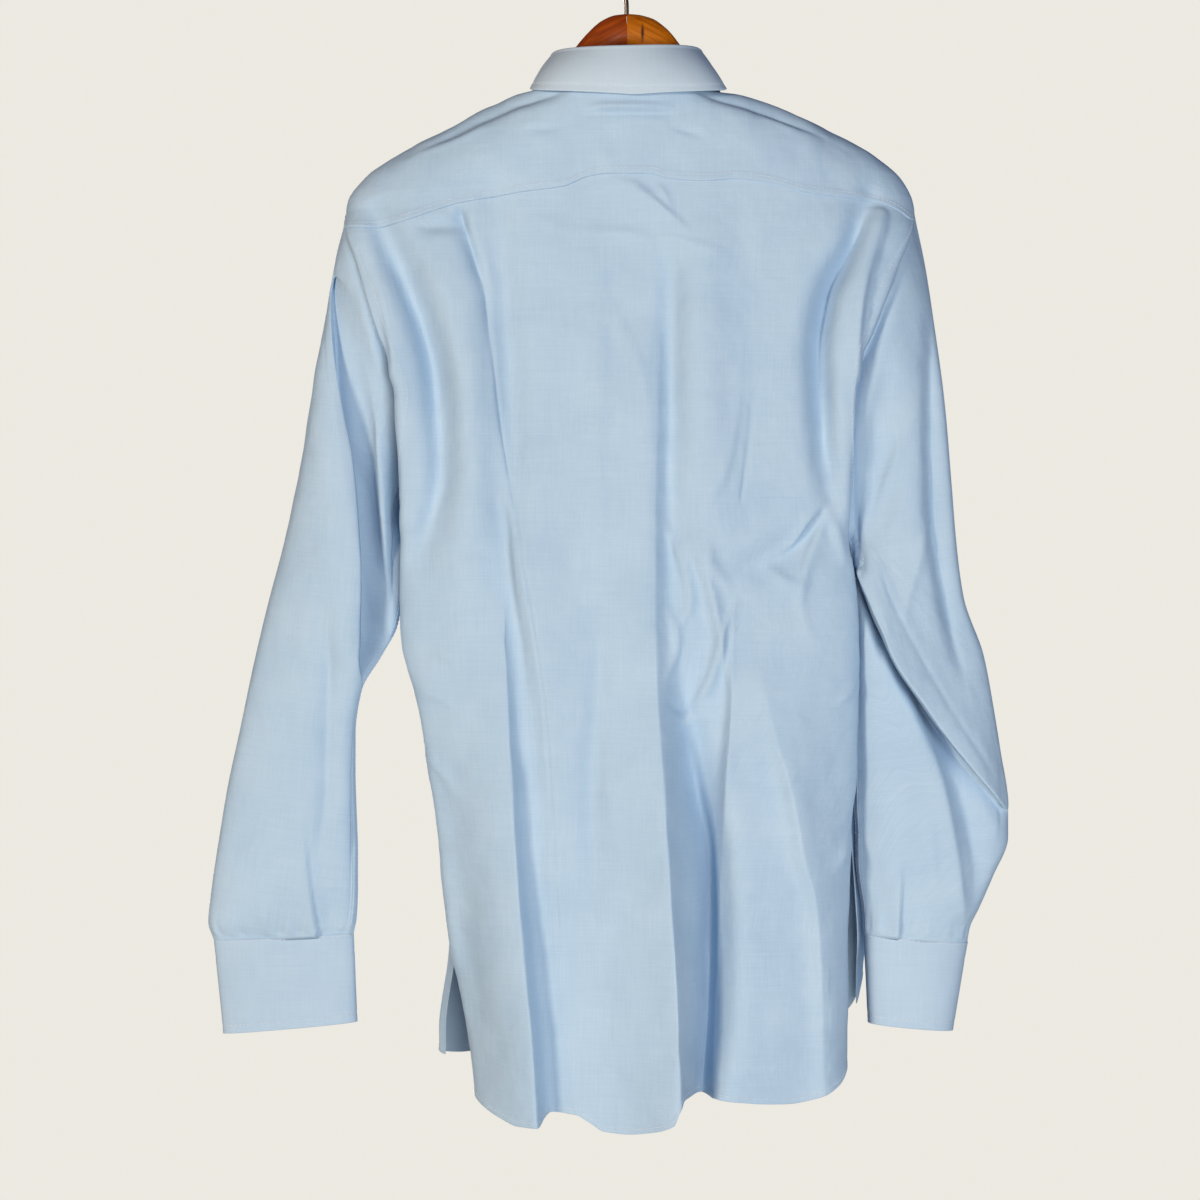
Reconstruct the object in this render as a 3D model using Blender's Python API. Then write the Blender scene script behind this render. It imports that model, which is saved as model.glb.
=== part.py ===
"""Long sleeve dress shirt on a two-piece wooden hanger.

Sizes are in millimetres. +Z is up, the shirt's front faces -Y, its back +Y, and +X is the wearer's left.
The origin is the inside top of the hanger's hook. Every cloth piece is a grid laid on one of three surfaces,
the torso, a sleeve or the collar, and is then given the cloth's wall. Folds are rows of short tables.
"""

import math

import bmesh
import bpy
import numpy as np

MM = 0.001

# Cloth
WALL = 1.2
COLLAR_WALL = 1.6
SEAM_GAP = 0.3
SIDE_GAP = 0.9
ARMHOLE_GAP = 1.8
LAP_CLEARANCE = 0.7

# Lengths of the body
NECK_Z = -116.0
SHOULDER_Z = -212.0
UNDERARM_Z = -481.0
CHEST_Z = -300.0
FRONT_NECK_DROP = 76.0
BACK, FRONT = 1, -1
LEFT, RIGHT = 1, -1

# Front closure
PLACKET_WIDTH = 34.0
FRONT_LAP = 17.0
YOKE_FRONT_END_Z = -228.0
FRONT_BUTTONS = 6
FRONT_BUTTON_TOP_Z = -268.0
FRONT_BUTTON_PITCH = 92.0

# Buttons
BUTTON_RADIUS = 5.6
BUTTON_THICK = 2.4
CUFF_BUTTON_RADIUS = 5.6

# Collar
NECK_MIDDLE_Y = -11.0
STAND_HEIGHT = 24.4
COLLAR_TILT = 0.055
STAND_LEAN = 0.15
LEAF_ROLL_RADIUS = 2.0
LEAF_ROLL = 0.12
LEAF_BULGE = 2.5
LEAF_CLEARANCE = 4.0
LEAF_END = 0.965

# Cuffs
CUFF_WALL = 1.8
CUFF_START = 0.86
CUFF_LAP = 0.11
SLEEVE_PLACKET_TURN = (0.82, 0.9)
SLEEVE_PLACKET_LENGTH = 0.36

# Sleeves
SLEEVE_SQUARENESS = 2.4
SLEEVE_HEAD = 0.16

# Hanger
HOOK_WIRE = 1.8
HOOK_BEND = 17.8
WOOD_TOP_Z = -53.3
ARM_RISE = {LEFT: 0.0, RIGHT: 0.045}
WOOD_GAP = 0.3

# Outline of the body seen from behind: height, and how far it reaches to each side. The upper rows follow the
# shoulder slope, the next ones the armhole seams, the rest the sides.
OUTLINE = {
    "z": (-116, -121, -128, -146, -168, -187, -205, -212, -229, -257, -289, -317, -333, -365, -425, -481,
          -529, -561, -618, -674, -707, -770, -802, -884, -960),
    "left": (72, 85, 104, 144, 187, 214, 227, 228, 227, 217, 207, 198, 191, 182, 184, 186, 188,
             186, 172, 163, 158, 151, 146, 131, 120),
    "right": (72, 88, 113, 160, 202, 224, 233, 234, 231, 219, 206, 195, 188, 185, 185, 187, 191,
              192, 191, 189, 185, 182, 181, 180, 176),
}
# The fronts reach further out than the back does near the hem.
FRONT_OUTLINE = {
    "z": OUTLINE["z"],
    "left": OUTLINE["left"][:19] + (162, 158, 152, 149, 158, 158),
    "right": OUTLINE["right"][:19] + (191, 194, 197, 198, 198, 194),
}
# How far the face of the back and of the fronts stands from the hanger's plane, and how square a ring is.
FACES = {
    "z": (-116, -146, -190, -229, -300, -400, -600, -800, -960),
    "back": (50, 48, 45, 42, 40, 40, 43, 47, 50),
    "front": (-71, -69, -64, -59, -51, -46, -46, -50, -54),
    "squareness": (2.0, 2.05, 2.2, 2.6, 3.0, 3.2, 3.2, 3.0, 3.0),
}
# Where the edges of the back and the fronts lie: the shoulder ridge, the armhole seams, then the side seam.
EDGES = {
    "z": (-116, -146, -187, -212, -218, -229, -257, -300, -365, -425, -465, -481, -560, -802, -960),
    "back": (-11, -9, -12, -16, 2, 14, 26, 32, 30, 18, 4, -4, -3, -2, 0),
    "front": (-11, -9, -12, -16, -30, -38, -44, -45, -42, -30, -13, -4, -3, -2, 0),
    "tuck": (0, 0, 0, 0, 0, 0, 0, 0, 3, 7, 12, 14, 16, 10.5, 9),
}
# The seam between the yoke and the back, seen from behind.
YOKE_SEAM = {
    "x": (-228, -215, -200, -166, -139, -122, -86, -62, -32, -18,
          12, 30, 51, 83, 137, 185, 205, 222),
    "z": (-222, -214, -209, -206, -203, -198, -194, -196, -194, -190,
          -190, -192, -200, -204, -213, -227, -230, -229),
}
# The shirt-tail hems. The back one is the longer.
BACK_HEM = {
    "x": (-185, -182, -176, -167, -149, -129, -108, -88, -65, -50, -44, -40, -36, -18,
          2, 18, 30, 42, 61, 67, 71, 85, 101, 118, 124, 132, 142, 148),
    "z": (-800, -880, -903, -916, -925, -928, -927, -925, -923, -921, -920, -930, -939, -946,
          -949, -948, -941, -935, -934, -938, -943, -943, -938, -929, -922, -897, -850, -800),
}
FRONT_HEM = {
    "x": (-199, -194, -187, -163, -110, -50, 0, 50, 100, 134, 151, 158, 162),
    "z": (-790, -838, -862, -886, -899, -903, -903, -903, -903, -904, -902, -893, -790),
}

# Folds of the back. Each point is how far left, height and how proud the fold is there. A fold dies away over
# left_width on its left and right_width on its right, and a power of 1 makes its crest sharp.
BACK_FOLDS = (
    {"name": "centre pleat edge", "left_width": 46, "right_width": 9, "power": 1.6,
     "points": ((-28, -293, 0), (-23, -369, 5), (-22, -529, 8), (-24, -609, 12), (-29, -689, 19),
                (-34, -769, 25), (-39, -849, 29), (-42, -950, 32))},
    {"name": "deep trough right of the pleat", "left_width": 11, "right_width": 13, "power": 2,
     "points": ((-40, -560, 0), (-50, -640, -10), (-58, -690, -16), (-66, -729, -20), (-68, -793, -24),
                (-67, -849, -24), (-58, -925, -20))},
    {"name": "right of the deep trough", "left_width": 8, "right_width": 42, "power": 1.7,
     "points": ((-86, -529, 0), (-83, -609, 7), (-78, -689, 12), (-74, -769, 14), (-71, -849, 14),
                (-68, -930, 12))},
    {"name": "left panel edge", "left_width": 44, "right_width": 9, "power": 1.6,
     "points": ((98, -520, 0), (97, -561, 5), (91, -689, 13), (82, -809, 20), (75, -880, 22),
                (71, -955, 22))},
    {"name": "left waist dart", "left_width": 10, "right_width": 30, "power": 1.6,
     "points": ((114, -289, 0), (103, -369, 3), (91, -449, 6), (78, -529, 8), (66, -609, 7), (60, -689, 5),
                (54, -801, 4), (42, -930, 3))},
    {"name": "left soft band", "left_width": 15, "right_width": 13, "power": 2,
     "points": ((104, -205, -3), (98, -289, -7), (94, -369, -8), (90, -449, -5), (88, -500, 0))},
    {"name": "left armhole trough", "left_width": 10, "right_width": 13, "power": 2,
     "points": ((205, -205, 0), (196, -233, -8), (178, -273, -12), (160, -325, -12), (152, -369, -10),
                (148, -421, -8), (163, -491, -3))},
    {"name": "left blade", "left_width": 20, "right_width": 20, "power": 2,
     "points": ((150, -225, 0), (140, -289, 6), (128, -369, 8), (126, -449, 6), (132, -529, 3),
                (134, -600, 0))},
    {"name": "centre band", "left_width": 12, "right_width": 10, "power": 2,
     "points": ((-34, -240, 0), (-36, -289, -6), (-35, -369, -8), (-33, -449, -7), (-33, -529, -4),
                (-36, -590, 0))},
    {"name": "right blade", "left_width": 24, "right_width": 24, "power": 2,
     "points": ((-58, -205, 2), (-60, -289, 7), (-62, -369, 8), (-70, -449, 5), (-74, -520, 0))},
    {"name": "right armhole trough", "left_width": 11, "right_width": 9, "power": 2,
     "points": ((-196, -206, -4), (-178, -253, -12), (-161, -286, -14), (-154, -334, -13), (-158, -401, -10),
                (-162, -445, -5), (-160, -480, 0))},
    {"name": "right long crease", "left_width": 8, "right_width": 26, "power": 1.5,
     "points": ((-104, -580, 0), (-119, -641, 5), (-132, -689, 8), (-140, -734, 8), (-148, -762, 8),
                (-153, -804, 7), (-156, -900, 6))},
    {"name": "right waist pull", "left_width": 12, "right_width": 14, "power": 2,
     "points": ((-158, -453, 0), (-140, -478, -6), (-122, -492, -8), (-95, -505, -4), (-76, -515, 0))},
    {"name": "left side hollow", "left_width": 15, "right_width": 16, "power": 2,
     "points": ((150, -640, 0), (138, -720, -5), (128, -800, -7), (118, -900, -5))},
)
# Folds of the two fronts, in the same columns. Proud is towards the front.
FRONT_FOLDS = (
    {"name": "left front fold", "left_width": 38, "right_width": 16, "power": 1.8,
     "points": ((118, -330, 0), (104, -440, 8), (92, -560, 13), (86, -700, 18), (88, -900, 20))},
    {"name": "left front trough", "left_width": 14, "right_width": 12, "power": 2,
     "points": ((92, -520, 0), (66, -650, -8), (60, -780, -11), (62, -900, -10))},
    {"name": "right front fold", "left_width": 15, "right_width": 40, "power": 1.8,
     "points": ((-112, -360, 0), (-104, -480, 9), (-94, -620, 15), (-92, -760, 18), (-96, -900, 20))},
    {"name": "right front trough", "left_width": 12, "right_width": 15, "power": 2,
     "points": ((-84, -540, 0), (-64, -670, -9), (-58, -780, -11), (-60, -900, -10))},
    {"name": "left chest hollow", "left_width": 18, "right_width": 18, "power": 2,
     "points": ((192, -240, 0), (166, -300, -9), (150, -370, -11), (150, -440, -7), (156, -510, 0))},
    {"name": "right chest hollow", "left_width": 18, "right_width": 18, "power": 2,
     "points": ((-194, -240, 0), (-170, -300, -10), (-152, -370, -11), (-148, -450, -7), (-154, -520, 0))},
)

# A sleeve is a flattened tube. Each row is a section from its outer edge to its inner edge, down to the cuff
# seam, with the depth of its middle and half its thickness.
SLEEVE_SECTIONS = {
    LEFT: {
        "outer_x": (228, 235, 243, 255, 267, 277, 291, 303, 313, 323, 330, 336, 339, 335),
        "outer_z": (-212, -249, -306, -385, -441, -482, -534, -585, -633, -679, -721, -761, -789, -803),
        "inner_x": (170, 179, 182, 183, 187, 200, 216, 221, 221, 220, 219, 219, 220, 222),
        "inner_z": (-481, -488, -505, -525, -549, -574, -602, -637, -669, -702, -731, -762, -786, -797.5),
        "middle_y": (-6, -6, -5, -3, -1, 0, 0, 0, 0, 0, 0, 0, 0, 0),
        "half_thick": (30, 27, 25, 23, 22, 21, 20, 19, 18, 18, 17, 17, 15, 11),
    },
    RIGHT: {
        "outer_x": (234, 243, 249, 258, 263, 267, 273, 289, 297, 303, 309, 309, 297, 286, 278, 276),
        "outer_z": (-212, -257, -300, -369, -430, -483, -527, -573, -615, -652, -692, -721, -752, -777, -794,
                    -804.5),
        "inner_x": (174, 184, 188, 189, 189, 189, 189, 189, 189, 188, 188, 188, 190, 192, 193, 193),
        "inner_z": (-481, -489, -504, -530, -556, -584, -612, -641, -668, -694, -718, -739, -759, -777, -789,
                    -797.5),
        "middle_y": (-6, -6, -6, -4, -2, 0, 0, 0, 0, 0, 0, 0, 0, 0, 0, 0),
        "half_thick": (30, 27, 25, 24, 23, 23, 23, 22, 21, 21, 21, 21, 21, 20, 18, 17),
    },
}
SLEEVE_FOLDS = {
    LEFT: (
        {"name": "front crease", "left_width": 48, "right_width": 8, "power": 1.8,
         "points": ((236, -260, 4), (235, -289, 10), (230, -369, 17), (226, -411, 18), (223, -473, 18),
                    (219, -571, 16), (217, -640, 12), (215, -700, 6), (215, -760, 0))},
        {"name": "recess", "left_width": 14, "right_width": 18, "power": 2,
         "points": ((218, -300, 0), (212, -369, -7), (208, -430, -9), (206, -500, -8), (210, -560, -3))},
        {"name": "long hollow", "left_width": 12, "right_width": 12, "power": 2,
         "points": ((236, -500, 0), (238, -560, -4), (240, -620, -5), (243, -700, -4), (248, -760, 0))},
        {"name": "pleat", "left_width": 9, "right_width": 12, "power": 1.6,
         "points": ((265, -690, 0), (258, -740, -4), (252, -785, -6))},
    ),
    RIGHT: (
        {"name": "fold over the elbow", "left_width": 9, "right_width": 52, "power": 1.7,
         "points": ((-194, -505, 10), (-202, -540, 14), (-214, -575, 16), (-226, -600, 16), (-250, -632, 15),
                    (-276, -664, 12), (-296, -690, 5))},
        {"name": "long fold", "left_width": 8, "right_width": 16, "power": 1.8,
         "points": ((-245, -286, 0), (-246, -380, -7), (-248, -474, -8), (-258, -530, -7), (-272, -600, 0))},
        {"name": "armhole recess", "left_width": 12, "right_width": 14, "power": 2,
         "points": ((-206, -330, 0), (-200, -409, -9), (-200, -455, -9), (-194, -490, -3))},
        {"name": "forearm ridge", "left_width": 18, "right_width": 22, "power": 2,
         "points": ((-205, -640, 0), (-213, -690, 5), (-218, -740, 5), (-222, -780, 0))},
        {"name": "pleat", "left_width": 12, "right_width": 9, "power": 1.6,
         "points": ((-218, -700, 0), (-219, -750, -4), (-220, -788, -6))},
    ),
}
SLEEVE_FRONT_FOLDS = {
    LEFT: (
        {"name": "front hollow", "left_width": 18, "right_width": 16, "power": 2,
         "points": ((222, -300, 0), (228, -400, -7), (240, -520, -7), (256, -640, -5), (270, -740, 0))},
        {"name": "front elbow pull", "left_width": 12, "right_width": 14, "power": 2,
         "points": ((292, -560, 0), (262, -580, 5), (232, -600, 0))},
    ),
    RIGHT: (
        {"name": "front hollow", "left_width": 16, "right_width": 18, "power": 2,
         "points": ((-222, -300, 0), (-226, -400, -8), (-232, -520, -7), (-240, -620, 0))},
        {"name": "front elbow pull", "left_width": 14, "right_width": 12, "power": 2,
         "points": ((-288, -640, 0), (-255, -655, 6), (-215, -690, 0))},
    ),
}
# The cuffs: their two ends, top and bottom, and half their thickness.
CUFFS = {
    LEFT: {"outer": ((334, -804), (327, -880)), "inner": ((222, -798.5), (219, -870.5)), "half_thick": 11.0},
    RIGHT: {"outer": ((276, -805.5), (264, -877)), "inner": ((193, -798.5), (196, -871)), "half_thick": 17.0},
}

# The top line of a hanger arm, how deep it lies, and half the height and width of the wood there.
HANGER_ARM = {
    "x": (0, 10, 20, 31, 42, 52, 62, 75, 100, 140, 178, 197, 206),
    "top_z": (-53.3, -55, -60, -69.5, -82, -95, -109, -123, -134, -152, -174, -190, -200),
    "y": (0, 0, 0, 0, 0, -1, -3, -6, -8, -9, -11, -13, -14),
    "half_high": (13, 13, 13, 13, 13, 12.5, 12, 12, 12, 12, 11.5, 10, 6.5),
    "half_wide": (7, 7, 7, 7, 7, 7.5, 8, 9, 10, 11.5, 12.5, 12, 7.5),
}
# The collar leaf's lower edge: where along the collar, 0 at the centre back, 0.5 over a shoulder and 1 at the
# centre front, then how far across the torso and on which ring it lies.
LEAF_EDGE = {
    "place": (0, 0.25, 0.5, 0.6, 0.7, 0.84, 0.97),
    "across": (0, 0.5, 1.0, 0.76, 0.56, 0.28, 0.224),
    "ring": (-131, -127, -117, -121, -126, -140, -148),
}

# Grid sizes, in faces
BODY_COLUMNS = 34
ROWS_BELOW_ARM = 12
YOKE_FRONT_COLUMNS = 3
FRONT_COLUMNS = 12
SLEEVE_GRID = (22, 22)
CUFF_GRID = (26, 2)
STAND_GRID = (28, 2)
LEAF_GRID = (30, 5)
PLACKET_COLUMNS = 3
SLEEVE_PLACKET_GRID = (2, 7)

COLOURS = {
    "shirt cloth": ((0.43, 0.57, 0.72), 0.75),
    "shell button": ((0.80, 0.82, 0.82), 0.30),
    "dark wood": ((0.34, 0.08, 0.01), 0.40),
    "light wood": ((0.48, 0.19, 0.02), 0.40),
    "steel wire": ((0.30, 0.29, 0.28), 0.30),
}


def clear_scene():
    for obj in list(bpy.data.objects):
        bpy.data.objects.remove(obj, do_unlink=True)


def material_named(name):
    """The material of that name, made on its first use."""
    if name in bpy.data.materials:
        return bpy.data.materials[name]
    colour, roughness = COLOURS[name]
    material = bpy.data.materials.new(name)
    material.use_nodes = True
    shader = material.node_tree.nodes["Principled BSDF"]
    shader.inputs["Base Color"].default_value = (*colour, 1.0)
    shader.inputs["Roughness"].default_value = roughness
    shader.inputs["Metallic"].default_value = 1.0 if name == "steel wire" else 0.0
    return material


def smooth_step(value):
    value = np.clip(value, 0.0, 1.0)
    return value * value * (3.0 - 2.0 * value)


def curve(knots, values, at):
    """A smooth curve through (knots, values), read at each place. It doesn't overshoot between its points."""
    knots = np.asarray(knots, float)
    values = np.asarray(values, float)
    if knots[0] > knots[-1]:
        knots = knots[::-1]
        values = values[::-1]
    steps = np.diff(knots)
    slopes = np.diff(values) / steps
    tangents = np.zeros_like(values)
    same_way = slopes[:-1] * slopes[1:] > 0
    mean = 2.0 * slopes[:-1] * slopes[1:] / np.where(same_way, slopes[:-1] + slopes[1:], 1.0)
    tangents[1:-1] = np.where(same_way, mean, 0.0)
    tangents[0] = slopes[0]
    tangents[-1] = slopes[-1]
    at = np.clip(np.asarray(at, float), knots[0], knots[-1])
    cell = np.clip(np.searchsorted(knots, at) - 1, 0, len(steps) - 1)
    t = (at - knots[cell]) / steps[cell]
    rise = values[cell + 1] - values[cell]
    start = tangents[cell] * steps[cell]
    end = tangents[cell + 1] * steps[cell]
    return values[cell] + t * (start + t * (3 * rise - 2 * start - end + t * (start + end - 2 * rise)))


def fold_relief(folds, x, z):
    """How proud the folds of a table stand at the points (x, z)."""
    relief = np.zeros_like(x)
    for fold in folds:
        points = np.array(fold["points"], float)
        knots = np.arange(len(points))
        fine = np.linspace(0, len(points) - 1, 4 * len(points) - 3)
        line_x, line_z, height = (curve(knots, points[:, column], fine) for column in range(3))
        nearest = np.full(x.shape, np.inf)
        proud = np.zeros_like(x)
        left = np.zeros(x.shape, bool)
        for a in range(len(fine) - 1):
            run_x = line_x[a + 1] - line_x[a]
            run_z = line_z[a + 1] - line_z[a]
            off_x = x - line_x[a]
            off_z = z - line_z[a]
            t = np.clip((off_x * run_x + off_z * run_z) / (run_x**2 + run_z**2), 0.0, 1.0)
            away = np.hypot(off_x - t * run_x, off_z - t * run_z)
            closer = away < nearest
            nearest = np.where(closer, away, nearest)
            proud = np.where(closer, height[a] + t * (height[a + 1] - height[a]), proud)
            left = np.where(closer, run_x * off_z - run_z * off_x > 0, left)
        width = np.where(left, fold["left_width"], fold["right_width"])
        relief += proud * np.exp(-((nearest / width) ** fold["power"]))
    return relief


def torso_sides(half, ring):
    outline = OUTLINE if half == BACK else FRONT_OUTLINE
    return curve(outline["z"], outline["left"], ring), -curve(outline["z"], outline["right"], ring)


def torso(half, across, ring, folded=True):
    """Points of the body's middle surface.

    across runs from -1 at the wearer's right edge to +1 at the left one. ring is the height of the level ring
    that the point belongs to: the front's upper rings dip towards the neck, and there the point lies lower.
    """
    across = np.asarray(across, float)
    ring = np.asarray(ring, float) + 0.0 * across
    left, right = torso_sides(half, ring)
    side_name = "back" if half == BACK else "front"
    face = curve(FACES["z"], FACES[side_name], ring)
    edge = curve(EDGES["z"], EDGES[side_name], ring)
    squareness = curve(FACES["z"], FACES["squareness"], ring)
    reach = np.sin(across * math.pi / 2)
    crown = np.maximum(1.0 - np.abs(reach) ** squareness, 0.0) ** (1.0 / squareness)
    below = smooth_step((UNDERARM_Z - ring) / 30)
    start = 0.72 + 0.07 * below
    turned = np.clip((np.abs(across) - start) / (1 - start), 0, 1) ** (2 + 0.6 * below)
    tuck = curve(EDGES["z"], EDGES["tuck"], ring) * turned
    x = (left + right) / 2 + (left - right) / 2 * reach - np.sign(across) * tuck
    y = edge + (face - edge) * crown
    z = ring.copy()
    if half == FRONT:
        dip = FRONT_NECK_DROP * np.maximum(np.cos(across * math.pi / 2), 0) ** 1.5
        z -= dip * (1 - smooth_step((NECK_Z - ring) / (NECK_Z - CHEST_Z)))
    below_ridge = ring < SHOULDER_Z - 0.1
    y = y + half * SIDE_GAP / 2 * below_ridge * smooth_step((np.abs(across) - 0.97) / 0.03)
    if folded:
        folds = BACK_FOLDS if half == BACK else FRONT_FOLDS
        calm = 1 - np.abs(across) ** 10
        calm = calm * smooth_step((NECK_Z - ring) / 50)
        y = y + half * calm * fold_relief(folds, x, z)
    return np.stack([x, y, z], axis=-1)


def ring_at_line(half, across, line, start):
    """The ring on which each column of the body meets a line given as heights along x."""
    ring = np.full(np.shape(across), float(start))
    for _ in range(30):
        point = torso(half, across, ring, folded=False)
        ring = ring + 0.7 * (curve(line["x"], line["z"], point[..., 0]) - point[..., 2])
    return ring


def across_at(half, x, ring):
    """How far across the body lies a point x on a ring."""
    left, right = torso_sides(half, ring)
    reach = np.clip((x - (left + right) / 2) / ((left - right) / 2), -1, 1)
    return np.arcsin(reach) * 2 / math.pi


def grid_params(faces):
    """The two parameters, 0 to 1, of a grid's points, as arrays of shape (across + 1, down + 1)."""
    return np.meshgrid(np.linspace(0, 1, faces[0] + 1), np.linspace(0, 1, faces[1] + 1), indexing="ij")


def add_grid(mesh, points):
    """Adds a grid of faces laid on an array of points, columns first."""
    columns, rows = points.shape[:2]
    made = bmesh.ops.create_grid(mesh, x_segments=columns - 1, y_segments=rows - 1, size=1.0)["verts"]
    for vertex in made:
        column = round((vertex.co.x + 1) / 2 * (columns - 1))
        row = round((vertex.co.y + 1) / 2 * (rows - 1))
        vertex.co = points[column, row] * MM


def finish_mesh(name, mesh, material):
    data = bpy.data.meshes.new(name)
    mesh.to_mesh(data)
    mesh.free()
    data.materials.append(material_named(material))
    obj = bpy.data.objects.new(name, data)
    bpy.context.scene.collection.objects.link(obj)
    data.shade_smooth()
    data.set_sharp_from_angle(angle=math.radians(50))
    return obj


def cloth(name, grids, wall=WALL, weld=False, outward=None):
    """A cloth piece: grids of points, given a wall. outward is a vector that most faces should look along."""
    mesh = bmesh.new()
    for points in grids:
        add_grid(mesh, points)
    if weld:
        bmesh.ops.remove_doubles(mesh, verts=mesh.verts, dist=0.00002)
        bmesh.ops.recalc_face_normals(mesh, faces=mesh.faces)
    if outward is not None:
        mesh.faces.ensure_lookup_table()
        mesh.normal_update()
        facing = sum(face.normal.dot(outward) * face.calc_area() for face in mesh.faces)
        if facing < 0:
            bmesh.ops.reverse_faces(mesh, faces=mesh.faces)
    obj = finish_mesh(name, mesh, "shirt cloth")
    solidify = obj.modifiers.new("cloth wall", "SOLIDIFY")
    solidify.thickness = wall * MM
    solidify.offset = 0.0
    solidify.use_quality_normals = True
    return obj


def spaced_columns(count, sides=3):
    """Places across the body: even along x over the face, then closer where it turns to the side."""
    face = np.arcsin(np.linspace(-0.955, 0.955, count + 1 - 2 * sides)) * 2 / math.pi
    turn = np.linspace(face[-1], 1.0, sides + 1)[1:]
    return np.concatenate([-turn[::-1], face, turn])


def seam_rings(across):
    return ring_at_line(BACK, across, YOKE_SEAM, -200)


def armhole_rings():
    """The rings on which the sleeve's columns meet the armhole seam, from the shoulder to the underarm."""
    turn = np.arange(SLEEVE_GRID[0] // 2 + 1) / SLEEVE_GRID[0]
    return SHOULDER_Z + (UNDERARM_Z - SHOULDER_Z) * (1 - np.cos(2 * math.pi * turn)) / 2


def body_rings(across, top, hem, above=()):
    """Rows of rings for columns of the body, which meet the sleeve's own points along both armhole seams."""
    rings = []
    for edge in (0, -1):
        levels = [level for level in armhole_rings() if level < top[edge] - 4]
        rings.append(np.array([top[edge], *above, *levels]))
    most = max(len(levels) for levels in rings)
    share_down = np.linspace(0, 1, most)
    right, left = (np.interp(share_down, np.linspace(0, 1, len(levels)), levels) for levels in rings)
    share_right = (right - right[0]) / (right[-1] - right[0])
    share_left = (left - left[0]) / (left[-1] - left[0])
    mix = ((across + 1) / 2)[:, None]
    share = share_right * (1 - mix) + share_left * mix
    inside = (1 - np.abs(across) ** 6)[:, None]
    share = share * (1 - inside) + np.linspace(0, 1, most) * inside
    upper = top[:, None] + (UNDERARM_Z - top)[:, None] * share
    below = np.linspace(0, 1, ROWS_BELOW_ARM + 1)[1:]
    lower = UNDERARM_Z + (hem - UNDERARM_Z)[:, None] * below
    return np.concatenate([upper, lower], axis=1)


def make_back():
    across = spaced_columns(BODY_COLUMNS)
    top = seam_rings(across) - SEAM_GAP
    hem = ring_at_line(BACK, across, BACK_HEM, -900)
    ring = body_rings(across, top, hem)
    return cloth("back", [torso(BACK, across[:, None] + 0 * ring, ring)], outward=(0, 1, 0))


def front_yoke_edge(ring):
    """Where the yoke's front seam crosses each ring, across the left front: 1 is the shoulder ridge."""
    return curve((NECK_Z, -150, -190, SHOULDER_Z, -228), (0.60, 0.72, 0.80, 0.88, 0.995), ring)


def make_yoke():
    across = spaced_columns(BODY_COLUMNS)
    seam = seam_rings(across)
    ridge = np.array([*np.linspace(NECK_Z, SHOULDER_Z, 5), armhole_rings()[1]])
    right, left = ((np.append(ridge, end) - NECK_Z) / (end - NECK_Z) for end in (seam[0], seam[-1]))
    mix = ((across + 1) / 2)[:, None]
    ring = NECK_Z + (seam - NECK_Z)[:, None] * (right * (1 - mix) + left * mix)
    grids = [torso(BACK, across[:, None] + 0 * ring, ring)]
    inward = np.linspace(0, 1, YOKE_FRONT_COLUMNS + 1)[:, None]
    for side in (LEFT, RIGHT):
        level = ring[-1 if side == LEFT else 0]
        edge = np.minimum(front_yoke_edge(level) + 0.004, 1.0)
        place = 1 + (edge - 1) * inward
        grids.append(torso(FRONT, side * place, level + 0 * place))
    return cloth("yoke", grids, weld=True, outward=(0, 1, 0))


def front_rings(place):
    """Rows of rings for the columns of a front, whose hem places across the front are given."""
    hem = ring_at_line(FRONT, place, FRONT_HEM, -860)
    above = (-134.0, -156.0, -180.0, -200.0)
    top = np.full(place.shape, NECK_Z)
    return body_rings(place, top, hem, above=above)


def make_front(name, side):
    """A front, from its side edge to just past the centre line. The left one lies over the right one."""
    inward = np.linspace(0, 1, FRONT_COLUMNS + 1)
    lap = side * across_at(FRONT, -side * FRONT_LAP, -890)
    ring = front_rings(side * (1 + (lap - 1) * inward))
    outer = np.where(ring > YOKE_FRONT_END_Z, np.minimum(front_yoke_edge(ring) - 0.008, 1.0), 1.0)
    lap = side * across_at(FRONT, -side * FRONT_LAP, ring)
    points = torso(FRONT, side * (outer + (lap - outer) * inward[:, None]), ring)
    points[..., 1] -= front_lift(side, points[..., 0])
    return cloth(name, [points], outward=(0, -1, 0))


def front_lift(side, x):
    """How far a front is lifted to lie over the other one."""
    if side == RIGHT:
        return 0.0 * x
    return (LAP_CLEARANCE + WALL) * smooth_step((FRONT_LAP + 26 - x) / 26)


def placket_point(x, ring, layer=1.0):
    """A point of the front placket, which lies on the left front. layer 1 is its middle surface."""
    points = torso(FRONT, across_at(FRONT, x, ring), ring)
    points[..., 1] -= front_lift(LEFT, points[..., 0]) + layer * (LAP_CLEARANCE + WALL)
    return points


def make_placket():
    x = np.linspace(-FRONT_LAP, FRONT_LAP, PLACKET_COLUMNS + 1)
    ring = front_rings(across_at(FRONT, x, -890))
    return cloth("front_placket", [placket_point(x[:, None] + 0 * ring, ring)], outward=(0, -1, 0))


def armhole(side, turn):
    """The armhole seam. turn is 0 at the shoulder, 0.25 behind, 0.5 under the arm and 0.75 in front."""
    ring = SHOULDER_Z + (UNDERARM_Z - SHOULDER_Z) * (1 - np.cos(2 * math.pi * turn)) / 2
    behind = torso(BACK, side + 0 * turn, ring)
    before = torso(FRONT, side + 0 * turn, ring)
    return np.where((turn % 1.0 <= 0.5)[..., None], behind, before)


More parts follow.
